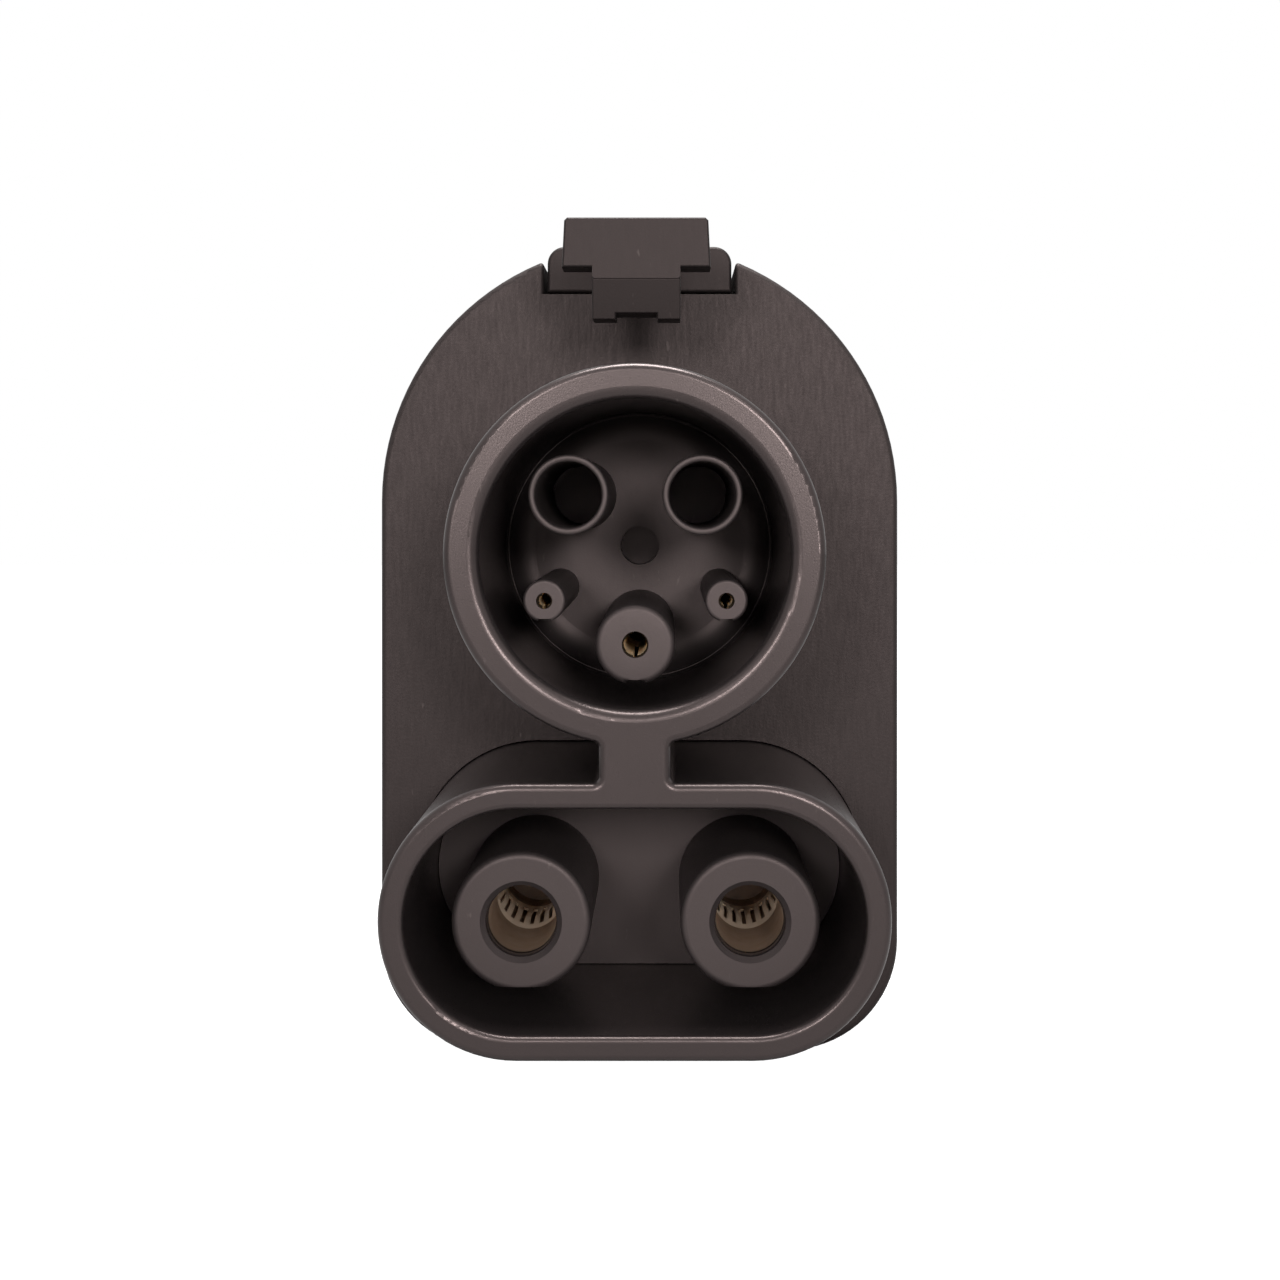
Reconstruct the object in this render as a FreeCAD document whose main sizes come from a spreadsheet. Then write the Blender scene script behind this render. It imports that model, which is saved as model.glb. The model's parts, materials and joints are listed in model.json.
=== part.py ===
import FreeCAD, Part
import math
import os

import Sketcher

# Driving dimensions in millimetres. Depths are measured back from the plane of the plug's rim,
# heights from the flat underside, rises and drops from the axis of the round plug ring, and the
# latch's drops from the top of the casing.
DIMENSIONS = {
    # casing
    "shell_side_margin": 5.1,
    "shell_clearance": 9.6,
    "casing_top_rise": 40.5,
    "foot_radius": 14.7,
    "casing_wall": 3.0,
    "plate_edge_radius": 0.8,
    "nose_reach": 32.0,
    "front_casing_length": 62.0,
    "casing_seal_thickness": 1.0,
    "seal_inset": 0.8,
    "taper_length": 27.0,
    "collar_length": 28.0,
    "fit_gap": 0.2,
    # plug shroud: ring, neck and lower shell
    "ring_outer": 43.8,
    "ring_bore": 35.6,
    "ring_floor_depth": 34.7,
    "floor_fillet": 2.5,
    "floor_lip": 0.3,
    "shell_drop": 42.0,
    "contact_pitch": 27.0,
    "shell_bore_radius": 12.95,
    "shell_wall": 2.95,
    "shell_floor_depth": 29.0,
    "neck_width": 8.2,
    "neck_fillet": 0.7,
    "rim_edge_radius": 0.9,
    "ring_mouth_radius": 1.4,
    "shell_mouth_radius": 0.7,
    "flange_clearance": 0.5,
    "flange_thickness": 3.0,
    "shroud_seal_thickness": 1.0,
    "insert_overlap": 3.0,
    # upper insert: tubes and sleeves
    "line_spacing": 15.7,
    "line_rise": 6.8,
    "line_tube_outer": 9.4,
    "line_tube_bore": 7.8,
    "line_tube_recess": 4.8,
    "line_tube_floor": 38.5,
    "pilot_spacing": 21.3,
    "pilot_drop": 5.6,
    "pilot_sleeve": 5.0,
    "pilot_entry": 1.9,
    "pilot_key_width": 1.6,
    "pilot_recess": 4.8,
    "earth_drop": 10.6,
    "earth_sleeve": 7.7,
    "earth_entry": 3.1,
    "earth_key_width": 2.3,
    "earth_recess": 3.5,
    "earth_edge_radius": 1.2,
    "sleeve_edge_radius": 0.4,
    "small_key_depth": 0.4,
    "entry_lip": 1.2,
    "tube_rim_radius": 0.35,
    "blind_hole": 5.2,
    "blind_hole_depth": 3.0,
    # lower insert: power sleeves
    "sleeve_drop": 43.5,
    "power_sleeve": 16.5,
    "power_sleeve_recess": 6.3,
    "power_sleeve_edge": 0.8,
    "power_lip": 1.4,
    "power_entry": 8.5,
    "power_entry_chamfer": 0.6,
    "power_key_width": 5.9,
    "power_key_depth": 0.6,
    # contacts of the plug end
    "contact_gap": 0.05,
    "power_contact_outer": 12.6,
    "power_contact_bore": 8.1,
    "power_contact_rear_bore": 8.8,
    "power_contact_reach": 11.0,
    "power_contact_depth": 27.0,
    "power_tail": 7.4,
    "shoulder_width": 15.0,
    "shoulder_thickness": 2.0,
    "band_length": 12.0,
    "band_seat": 9.4,
    "band_sheet": 0.25,
    "band_waist": 7.7,
    "band_end_bore": 8.5,
    "band_rim_length": 1.0,
    "band_waist_length": 2.0,
    "band_slots": 20,
    "band_slot_width": 0.55,
    "band_slot_length": 7.0,
    "earth_contact_outer": 5.4,
    "earth_contact_bore": 2.7,
    "pilot_contact_outer": 3.6,
    "pilot_contact_bore": 1.4,
    "small_contact_depth": 20.0,
    "contact_slit": 0.5,
    "slit_length": 11.0,
    "small_shoulder_rim": 0.6,
    "small_shoulder_length": 1.5,
    "solder_tail": 1.9,
    "earth_tail": 3.0,
    "rivet_proud": 0.6,
    # retainer behind the inserts
    "retainer_thickness": 3.0,
    "retainer_margin": 1.0,
    "retainer_crown_drop": 6.5,
    "retainer_hole_gap": 0.3,
    "boss_radius": 2.6,
    "side_screw_inset": 6.9,
    "side_screw_drop": 20.5,
    "top_screw_inset": 10.5,
    "top_screw_angle": 28.1,
    "screw_shank": 3.0,
    "screw_head": 5.6,
    "screw_head_height": 2.0,
    "screw_drive": 2.6,
    "screw_drive_depth": 1.2,
    "pilot_gap": 0.02,
    "screw_hole_gap": 0.2,
    "retainer_screw_length": 8.0,
    # circuit board
    "board_standoff": 1.0,
    "board_thickness": 1.6,
    "board_width": 45.0,
    "board_height": 32.0,
    "board_base_drop": 23.5,
    "board_corner": 2.0,
    "board_boss_radius": 2.2,
    "stake_radius": 1.2,
    "stake_inset": 4.0,
    "stake_low_x": 8.0,
    "stake_proud": 0.6,
    # conductors
    "busbar_width": 13.0,
    "busbar_thickness": 4.0,
    "busbar_bend": 6.0,
    "busbar_margin": 7.5,
    "busbar_lead_gap": 3.2,
    "busbar_board_gap": 2.4,
    "earth_bar_width": 6.0,
    "earth_bar_thickness": 2.0,
    "earth_bar_bend": 2.0,
    "earth_bar_margin": 3.5,
    "earth_bar_run_height": 44.0,
    "earth_bar_board_gap": 1.4,
    "lead_width": 1.6,
    "lead_front_x": 20.6,
    "lead_bend": 8.0,
    "lead_bend_start": 60.0,
    # inlet at the back end
    "inlet_height": 58.0,
    "collar_width": 52.0,
    "collar_base": 37.5,
    "collar_corner": 15.0,
    "collar_edge_radius": 1.2,
    "mouth_chamfer": 0.8,
    "mouth_wall": 1.9,
    "mouth_recess": 0.8,
    "inlet_floor_depth": 119.0,
    "inlet_floor_thickness": 5.0,
    "latch_window_width": 7.0,
    "latch_window_length": 6.0,
    "latch_window_setback": 8.0,
    "power_pin_spacing": 21.2,
    "power_pin_rise": 5.5,
    "power_pin": 8.0,
    "power_pin_end": 140.0,
    "pin_tip_length": 4.0,
    "tip_spigot": 4.0,
    "tip_rebate": 0.2,
    "earth_pin": 6.0,
    "earth_pin_drop": 7.5,
    "earth_pin_end": 142.0,
    "signal_pin": 3.0,
    "signal_pin_spacing": 23.0,
    "signal_pin_drop": 10.0,
    "signal_pin_end": 138.0,
    "pin_flange_rim": 2.0,
    "pin_collar_rim": 0.5,
    "pin_flange_thickness": 2.0,
    "pin_tail": 6.0,
    "pin_end_break": 0.5,
    "small_pin_nose": 1.0,
    "tip_dome_radius": 1.8,
    "signal_tail": 3.0,
    # screws that join the casings
    "casing_screw_foot_angle": 60.0,
    "casing_screw_top_angle": 38.0,
    "casing_screw_seat": 2.0,
    "casing_screw_length": 16.0,
    "casing_boss_radius": 4.0,
    "casing_boss_length": 20.0,
    "boss_bite": 0.8,
    "tower_radius": 4.6,
    "tower_length": 5.5,
    "well_gap": 0.3,
    # latch lever
    "channel_width": 25.6,
    "lever_gap": 0.5,
    "channel_floor_drop": 6.9,
    "channel_length": 58.0,
    "channel_skin": 2.4,
    "channel_end_drop": 4.2,
    "channel_edge_radius": 0.4,
    "lever_top_drop": 0.5,
    "lever_corner": 2.3,
    "lever_rest_gap": 0.2,
    "pivot_depth": 58.0,
    "pivot_drop": 5.5,
    "pivot_pin": 3.0,
    "pivot_hub_radius": 3.1,
    "pivot_running_gap": 0.05,
    "pivot_grip": 2.0,
    "hook_depth": 10.0,
    "arm_top_width": 17.3,
    "arm_bottom_width": 17.9,
    "arm_bottom_drop": 6.4,
    "arm_top_drop": 0.4,
    "arm_corner": 0.35,
    "bar_thickness": 4.5,
    "bar_edge_radius": 0.3,
    "hook_edge_radius": 0.3,
    "lever_edge_radius": 0.5,
    "hook_width": 10.6,
    "hook_thickness": 7.0,
    "hook_tip_drop": 12.35,
    "hook_crease_drop": 7.7,
    "hook_ramp_run": 3.5,
    "hook_root_radius": 1.2,
    "tip_notch_width": 5.0,
    "tip_notch_height": 0.65,
    "thumb_pad_length": 17.0,
    "thumb_rib_height": 0.8,
    "thumb_ribs": 4,
    "thumb_rib_width": 1.4,
    "spring_setback": 24.0,
    "spring_radius": 2.4,
    "spring_wire": 0.6,
    "spring_turns": 5,
    "spring_pocket_depth": 2.0,
    "spring_pocket_gap": 0.4,
}


class Size:
    """A length held as its present value and as the formula on the sheet that drives it."""

    def __init__(self, value, formula):
        self.value = value
        self.formula = formula

    def __add__(self, other):
        other = as_size(other)
        return Size(self.value + other.value, f"({self.formula} + {other.formula})")

    def __sub__(self, other):
        other = as_size(other)
        return Size(self.value - other.value, f"({self.formula} - {other.formula})")

    def __mul__(self, other):
        other = as_size(other)
        return Size(self.value * other.value, f"({self.formula} * {other.formula})")

    def __truediv__(self, other):
        other = as_size(other)
        return Size(self.value / other.value, f"({self.formula} / {other.formula})")

    def __neg__(self):
        return Size(-self.value, f"(-1 * {self.formula})")

    __radd__ = __add__
    __rmul__ = __mul__


def as_size(number):
    """Let plain numbers take part in formulas."""
    return number if isinstance(number, Size) else Size(float(number), str(number))


def root(size):
    """The square root of a size, kept as a formula."""
    return Size(math.sqrt(size.value), f"sqrt({size.formula})")


def cosine(angle):
    """The cosine of an angle in degrees, kept as a formula."""
    return Size(math.cos(math.radians(angle.value)), f"cos({angle.formula})")


def sine(angle):
    """The sine of an angle in degrees, kept as a formula."""
    return Size(math.sin(math.radians(angle.value)), f"sin({angle.formula})")


doc = FreeCAD.newDocument("charging_adapter")
sheet = doc.addObject("Spreadsheet::Sheet", "Sizes")


class Sheet:
    """Every driving dimension as a Size, by its alias on the sheet."""


dim = Sheet()
for row, (alias, number) in enumerate(DIMENSIONS.items(), start=1):
    sheet.set(f"A{row}", alias)
    sheet.set(f"B{row}", str(number))
    sheet.setAlias(f"B{row}", alias)
    setattr(dim, alias, Size(float(number), f"Sizes.{alias}"))
doc.recompute()

ZERO = as_size(0)
SIXTH_TURN = as_size(360 / 6)

# Derived places shared by several sub-parts
casing_back_depth = dim.nose_reach + dim.front_casing_length
taper_start_depth = casing_back_depth + dim.casing_seal_thickness
collar_start_depth = taper_start_depth + dim.taper_length
total_length = collar_start_depth + dim.collar_length
rim_y = -(total_length / 2)
half_pitch = dim.contact_pitch / 2
shell_outer_radius = dim.shell_bore_radius + dim.shell_wall
half_body = half_pitch + shell_outer_radius + dim.shell_side_margin
shell_z = dim.shell_clearance + shell_outer_radius
axis_z = shell_z + dim.shell_drop
casing_top_z = axis_z + dim.casing_top_rise
crown_z = casing_top_z - half_body
flange_margin = dim.shell_side_margin - dim.casing_wall - dim.flange_clearance
power_z = axis_z - dim.sleeve_drop
pilot_z = axis_z - dim.pilot_drop
earth_z = axis_z - dim.earth_drop
insert_gap = dim.fit_gap / 2
flange_depth = dim.nose_reach + dim.casing_wall + dim.shroud_seal_thickness
insert_depth = flange_depth + dim.flange_thickness + dim.insert_overlap
retainer_back_depth = insert_depth + dim.retainer_thickness
board_depth = retainer_back_depth + dim.board_standoff
board_back_depth = board_depth + dim.board_thickness
power_pin_z = dim.inlet_height + dim.power_pin_rise
earth_pin_z = dim.inlet_height - dim.earth_pin_drop
signal_z = dim.inlet_height - dim.signal_pin_drop
inlet_back_depth = total_length - dim.mouth_recess
inlet_front_depth = dim.inlet_floor_depth - dim.inlet_floor_thickness
pin_flange_depth = inlet_front_depth - dim.pin_flange_thickness
board_base_z = axis_z - dim.board_base_drop
busbar_run_z = (signal_z + dim.lead_width / 2 + dim.busbar_thickness / 2
                + dim.busbar_lead_gap)
pivot_z = casing_top_z - dim.pivot_drop
pivot_y = rim_y + dim.pivot_depth
half_channel = dim.channel_width / 2
half_lever = half_channel - dim.lever_gap
channel_floor_z = casing_top_z - dim.channel_floor_drop
lever_bottom_z = channel_floor_z + dim.lever_rest_gap
channel_back_depth = dim.nose_reach + dim.channel_length
lever_back_depth = channel_back_depth - dim.lever_gap
spring_y = pivot_y + dim.spring_setback
spring_pocket_radius = dim.spring_radius + dim.spring_wire / 2 + dim.spring_pocket_gap


def bind(item, name, size):
    """Drive one property of an object from the sheet."""
    item.setExpression(name, as_size(size).formula)


def new_body(label, x=ZERO, y=ZERO, z=ZERO):
    """An empty body whose placement follows the sheet."""
    body = doc.addObject("PartDesign::Body", label)
    body.Label = label
    for axis, size in zip("xyz", (x, y, z)):
        if size is not ZERO:
            bind(body, f"Placement.Base.{axis}", size)
    return body


# Sketch planes: origin plane, sign of its normal along the axis it faces
PLANES = {"front": ("XZ_Plane", -1), "side": ("YZ_Plane", 1), "top": ("XY_Plane", 1)}


def new_sketch(body, name, plane, at=ZERO):
    """A sketch on one of the body's own origin planes, moved along its normal."""
    role, sign = PLANES[plane]
    support = [item for item in body.Origin.OriginFeatures if item.Role == role][0]
    sketch = body.newObject("Sketcher::SketchObject", name)
    sketch.AttachmentSupport = (support, [""])
    sketch.MapMode = "FlatFace"
    if at is not ZERO:
        bind(sketch, "AttachmentOffset.Base.z", at if sign > 0 else -at)
    return sketch


def hold(sketch, kind, value, *places):
    """Add a dimension to a sketch and drive it from the sheet."""
    index = sketch.addConstraint(Sketcher.Constraint(kind, *places, value.value))
    sketch.setExpression(f"Constraints[{index}]", value.formula)


def hold_point(sketch, element, corner, point, which="both"):
    """Hold a corner of a sketch element at its distance from the sketch's origin."""
    for kind, value, axis in (("DistanceX", point[0], -2), ("DistanceY", point[1], -1)):
        if which not in ("both", kind):
            continue
        if value is ZERO:
            sketch.addConstraint(Sketcher.Constraint("PointOnObject", element, corner, axis))
        else:
            hold(sketch, kind, value, -1, 1, element, corner)


def vector(point):
    return FreeCAD.Vector(point[0].value, point[1].value, 0)


def draw_circle(sketch, centre, radius):
    circle = Part.Circle(vector(centre), FreeCAD.Vector(0, 0, 1), radius.value)
    element = sketch.addGeometry(circle)
    hold_point(sketch, element, 3, centre)
    hold(sketch, "Radius", radius, element)


def arc_between(here, there, centre, anticlockwise):
    """A circular arc and the corner numbers of its near and far ends."""
    middle = vector(centre)
    near = vector(here) - middle
    far = vector(there) - middle
    circle = Part.Circle(middle, FreeCAD.Vector(0, 0, 1), near.Length)
    near_angle = math.atan2(near.y, near.x)
    far_angle = math.atan2(far.y, far.x)
    if anticlockwise:
        return Part.ArcOfCircle(circle, near_angle, far_angle), 1, 2
    return Part.ArcOfCircle(circle, far_angle, near_angle), 2, 1


def draw_path(sketch, start, steps, closed=True):
    """Draw lines and arcs end to end. A step is (end,) or (end, centre, anticlockwise)."""
    here = start
    first = None
    last = None
    for number, step in enumerate(steps):
        there = step[0]
        if len(step) == 1:
            edge, near, far = Part.LineSegment(vector(here), vector(there)), 1, 2
        else:
            edge, near, far = arc_between(here, there, step[1], step[2])
        element = sketch.addGeometry(edge)
        if first is None:
            first = (element, near)
            hold_point(sketch, element, near, start)
        else:
            sketch.addConstraint(Sketcher.Constraint("Coincident", element, near, *last))
        if closed and number == len(steps) - 1:
            sketch.addConstraint(Sketcher.Constraint("Coincident", element, far, *first))
        else:
            hold_point(sketch, element, far, there)
        if len(step) > 1:
            chord = vector(there) - vector(here)
            which = "DistanceX" if abs(chord.y) >= abs(chord.x) else "DistanceY"
            hold_point(sketch, element, 3, step[1], which)
        last = (element, far)
        here = there


def circle(x, z, radius):
    """A round loop for a sketch."""
    return lambda sketch: draw_circle(sketch, (x, z), radius)


def path(start, *steps):
    """A closed loop of lines and arcs for a sketch."""
    return lambda sketch: draw_path(sketch, start, steps)


def polygon(*points):
    """A closed loop of straight lines for a sketch."""
    return path(points[0], *[(point,) for point in points[1:]], (points[0],))


def rectangle(left, bottom, right, top):
    return polygon((left, bottom), (right, bottom), (right, top), (left, top))


def rounded_rectangle(left, bottom, right, top, corner):
    """A rectangle with four equal round corners."""
    return path(
        (left + corner, bottom),
        ((right - corner, bottom),),
        ((right, bottom + corner), (right - corner, bottom + corner), True),
        ((right, top - corner),),
        ((right - corner, top), (right - corner, top - corner), True),
        ((left + corner, top),),
        ((left, top - corner), (left + corner, top - corner), True),
        ((left, bottom + corner),),
        ((left + corner, bottom), (left + corner, bottom + corner), True),
    )


def hexagon(x, z, radius):
    """A six-sided recess for a key, drawn inside a circle."""
    high = radius * sine(SIXTH_TURN)
    half = radius / 2
    return polygon((x + radius, z), (x + half, z + high), (x - half, z + high),
                   (x - radius, z), (x - half, z - high), (x + half, z - high))


def arched(half_width, crown, base, corner):
    """The adapter's outline: round above, straight sides, rounded corners and a flat base."""
    return path(
        (half_width, crown),
        ((-half_width, crown), (ZERO, crown), True),
        ((-half_width, base + corner),),
        ((-(half_width - corner), base), (-(half_width - corner), base + corner), True),
        ((half_width - corner, base),),
        ((half_width, base + corner), (half_width - corner, base + corner), True),
        ((half_width, crown),),
    )


def stadium(half_span, height, radius):
    """Two round ends joined by level straight sides."""
    top = height + radius
    bottom = height - radius
    return path(
        (-half_span, top),
        ((-half_span, bottom), (-half_span, height), True),
        ((half_span, bottom),),
        ((half_span, top), (half_span, height), True),
        ((-half_span, top),),
    )


def extrude(body, name, plane, at, length, *loops, cut=False):
    """Pad or pocket loops from a plane at a stated place, in the positive axis direction."""
    sketch = new_sketch(body, f"{name}_sketch", plane, at)
    for loop in loops:
        loop(sketch)
    feature = body.newObject("PartDesign::Pocket" if cut else "PartDesign::Pad", name)
    feature.Profile = sketch
    feature.Reversed = (PLANES[plane][1] < 0) != cut
    bind(feature, "Length", length)
    return feature


def turn(body, name, profile):
    """Revolve a closed loop of (radius, y) points about the body's own Y axis."""
    sketch = new_sketch(body, f"{name}_sketch", "top")
    profile(sketch)
    feature = body.newObject("PartDesign::Revolution", name)
    feature.Profile = sketch
    feature.ReferenceAxis = (sketch, ["V_Axis"])
    feature.Angle = 360
    return feature


def edge_points(edge):
    """Both ends and the middle of an edge."""
    first, last = edge.ParameterRange
    return [edge.valueAt(at) for at in (first, (first + last) / 2, last)]


def near(value, target):
    return abs(value - target) < 0.01


def all_at(value_of, target):
    """A test for edges that keep one value, such as a depth or a radius, along their length."""
    return lambda points: all(near(value_of(point), target.value) for point in points)


def both(*tests):
    return lambda points: all(test(points) for test in tests)


def at_y(target):
    return all_at(lambda point: point.y, target)


def radius_about(x, z):
    """The distance of a point from an axis that runs along Y."""
    return lambda point: math.hypot(point.x - x.value, point.z - z.value)


def dress(body, kind, name, base, size, test):
    """Fillet or chamfer the edges of a feature whose ends and middle pass a test."""
    doc.recompute()
    names = [
        f"Edge{number}"
        for number, edge in enumerate(base.Shape.Edges, start=1)
        if test(edge_points(edge))
    ]
    if not names:
        raise RuntimeError(f"{name} found no edges")
    feature = body.newObject(f"PartDesign::{kind}", name)
    feature.Base = (base, names)
    bind(feature, "Radius" if kind == "Fillet" else "Size", size)
    return feature


def shell_distance(point):
    """Distance of a point from the line between the lower shell's two end centres."""
    beyond = max(abs(point.x) - half_pitch.value, 0)
    return math.hypot(beyond, point.z - shell_z.value)


def nose_outline(body, name, depth, length, grow, cut=False):
    """Ring, neck and lower shell as three pads or pockets, grown by a margin all round."""
    start_y = rim_y + depth
    half_neck = dim.neck_width / 2 + grow
    neck_top = axis_z - (dim.ring_outer + dim.ring_bore) / 4
    neck_bottom = shell_z + dim.shell_bore_radius + dim.shell_wall / 2
    extrude(body, f"{name}_ring", "front", start_y, length,
            circle(ZERO, axis_z, dim.ring_outer / 2 + grow), cut=cut)
    extrude(body, f"{name}_shell", "front", start_y, length,
            stadium(half_pitch, shell_z, shell_outer_radius + grow), cut=cut)
    return extrude(body, f"{name}_neck", "front", start_y, length,
                   rectangle(-half_neck, neck_bottom, half_neck, neck_top), cut=cut)


RETAINER_SCREWS = [
    (side * x, z)
    for side in (-1, 1)
    for x, z in (
        (half_body - dim.side_screw_inset, axis_z - dim.side_screw_drop),
        ((half_body - dim.top_screw_inset) * cosine(dim.top_screw_angle),
         crown_z + (half_body - dim.top_screw_inset) * sine(dim.top_screw_angle)),
    )
]
boss_setback = dim.casing_wall + dim.casing_boss_radius - dim.boss_bite
CASING_SCREWS = [
    (side * x, z)
    for side in (-1, 1)
    for x, z in (
        (half_body - dim.foot_radius
         + (dim.foot_radius - boss_setback) * cosine(dim.casing_screw_foot_angle),
         dim.foot_radius
         - (dim.foot_radius - boss_setback) * sine(dim.casing_screw_foot_angle)),
        ((half_body - boss_setback) * cosine(dim.casing_screw_top_angle),
         crown_z + (half_body - boss_setback) * sine(dim.casing_screw_top_angle)),
    )
]
SIDES = (("left", -1), ("right", 1))
BOARD_STAKES = [
    (side * x, z)
    for side in (-1, 1)
    for x, z in (
        (dim.board_width / 2 - dim.stake_inset,
         board_base_z + dim.board_height - dim.stake_inset),
        (dim.stake_low_x, board_base_z + dim.stake_inset),
    )
]


def build_front_casing():
    """Grained shell with the flat plate, the cut-out for the plug and the channel for the latch."""
    body = new_body("front_casing")
    plate_y = rim_y + dim.nose_reach
    inner_y = plate_y + dim.casing_wall
    back_y = rim_y + casing_back_depth
    outside = extrude(body, "casing_block", "front", plate_y, dim.front_casing_length,
                      arched(half_body, crown_z, ZERO, dim.foot_radius))
    dress(body, "Fillet", "plate_edge", outside, dim.plate_edge_radius, at_y(plate_y))
    extrude(body, "casing_hollow", "front", inner_y, dim.front_casing_length - dim.casing_wall,
            arched(half_body - dim.casing_wall, crown_z, dim.casing_wall,
                   dim.foot_radius - dim.casing_wall), cut=True)

    # trough that carries the latch lever, closed off from the inside of the casing
    half_trough = half_channel + dim.channel_skin
    slope_start_y = pivot_y + dim.pivot_hub_radius + dim.casing_wall / 2
    trough_back_y = rim_y + channel_back_depth
    end_floor_z = channel_floor_z - dim.channel_end_drop
    hub_floor_z = pivot_z - dim.pivot_hub_radius - dim.lever_gap
    inside_crown = half_body - dim.casing_wall / 2
    trough_top_z = crown_z + root(inside_crown * inside_crown - half_trough * half_trough)
    extrude(body, "trough", "side", -half_trough, half_trough * 2, polygon(
        (inner_y, channel_floor_z - dim.channel_skin),
        (pivot_y - dim.pivot_hub_radius * 2, channel_floor_z - dim.channel_skin),
        (pivot_y - dim.pivot_hub_radius, hub_floor_z - dim.channel_skin),
        (slope_start_y, hub_floor_z - dim.channel_skin),
        (trough_back_y + dim.channel_skin, end_floor_z - dim.channel_skin),
        (trough_back_y + dim.channel_skin, trough_top_z),
        (inner_y, trough_top_z),
    ))
    for number, (x, z) in enumerate(RETAINER_SCREWS, start=1):
        extrude(body, f"retainer_boss_{number}", "front", inner_y,
                insert_depth - dim.nose_reach - dim.casing_wall,
                circle(x, z, dim.boss_radius))
    for number, (x, z) in enumerate(CASING_SCREWS, start=1):
        extrude(body, f"casing_boss_{number}", "front", back_y - dim.casing_boss_length,
                dim.casing_boss_length, circle(x, z, dim.casing_boss_radius))
    nose_outline(body, "plug_cutout", dim.nose_reach, dim.casing_wall, dim.fit_gap, cut=True)
    channel = extrude(body, "channel", "side", -half_channel, half_channel * 2, polygon(
        (plate_y, channel_floor_z),
        (pivot_y - dim.pivot_hub_radius - dim.lever_gap, channel_floor_z),
        (pivot_y - dim.pivot_hub_radius - dim.lever_gap, hub_floor_z),
        (slope_start_y, hub_floor_z),
        (trough_back_y, end_floor_z),
        (trough_back_y, casing_top_z),
        (plate_y, casing_top_z),
    ), cut=True)
    channel_side = all_at(lambda point: abs(point.x), half_channel)
    channel_front = at_y(plate_y)
    dress(body, "Fillet", "channel_edges", channel, dim.channel_edge_radius,
          lambda points: channel_side(points) and channel_front(points))
    extrude(body, "spring_seat", "top", end_floor_z, dim.channel_end_drop,
            circle(ZERO, spring_y, spring_pocket_radius), cut=True)
    half_pin = half_channel + dim.pivot_grip
    extrude(body, "pivot_hole", "side", -half_pin, half_pin * 2,
            circle(pivot_y, pivot_z, dim.pivot_pin / 2), cut=True)
    extrude(body, "retainer_pilots", "front", inner_y,
            insert_depth - dim.nose_reach - dim.casing_wall,
            *[circle(x, z, dim.screw_shank / 2 + dim.pilot_gap) for x, z in RETAINER_SCREWS],
            cut=True)
    extrude(body, "casing_pilots", "front", back_y - dim.casing_boss_length + dim.casing_wall,
            dim.casing_boss_length - dim.casing_wall,
            *[circle(x, z, dim.screw_shank / 2 + dim.pilot_gap) for x, z in CASING_SCREWS],
            cut=True)
    return body


def build_rear_casing():
    """Tapered shell behind the parting line, ending in the collar of the inlet."""
    body = new_body("rear_casing")
    front_y = rim_y + taper_start_depth
    collar_y = rim_y + collar_start_depth
    half_collar = dim.collar_width / 2
    for kind, name, inset in (
        ("AdditiveLoft", "taper", ZERO),
        ("SubtractiveLoft", "taper_hollow", dim.casing_wall),
    ):
        wide = new_sketch(body, f"{name}_wide", "front", front_y)
        arched(half_body - inset, crown_z, inset, dim.foot_radius - inset)(wide)
        narrow = new_sketch(body, f"{name}_narrow", "front", collar_y)
        arched(half_collar - inset, dim.inlet_height, dim.collar_base + inset,
               dim.collar_corner - inset)(narrow)
        loft = body.newObject(f"PartDesign::{kind}", name)
        loft.Profile = wide
        loft.Sections = [narrow]
        loft.Ruled = True
        if inset is ZERO:
            collar = extrude(body, "collar", "front", collar_y, dim.collar_length,
                             arched(half_collar, dim.inlet_height, dim.collar_base,
                                    dim.collar_corner))
            dress(body, "Fillet", "collar_edge", collar, dim.collar_edge_radius,
                  at_y(collar_y + dim.collar_length))
    extrude(body, "collar_bore", "front", collar_y, dim.collar_length,
            arched(half_collar - dim.casing_wall, dim.inlet_height,
                   dim.collar_base + dim.casing_wall, dim.collar_corner - dim.casing_wall),
            cut=True)
    seat_y = front_y + dim.casing_screw_seat
    extrude(body, "screw_towers", "front", front_y, dim.tower_length,
            *[circle(x, z, dim.tower_radius) for x, z in CASING_SCREWS])
    extrude(body, "screw_wells", "front", seat_y, dim.taper_length,
            *[circle(x, z, dim.screw_head / 2 + dim.well_gap) for x, z in CASING_SCREWS],
            cut=True)
    extrude(body, "screw_holes", "front", front_y, dim.casing_screw_seat,
            *[circle(x, z, dim.screw_shank / 2 + dim.screw_hole_gap) for x, z in CASING_SCREWS],
            cut=True)
    return body


def build_casing_seal():
    """Flat rubber ring in the joint between the two casings."""
    body = new_body("casing_seal")
    extrude(body, "seal_ring", "front", rim_y + casing_back_depth, dim.casing_seal_thickness,
            arched(half_body - dim.seal_inset, crown_z, dim.seal_inset,
                   dim.foot_radius - dim.seal_inset),
            arched(half_body - dim.casing_wall, crown_z, dim.casing_wall,
                   dim.foot_radius - dim.casing_wall))
    return body


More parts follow.
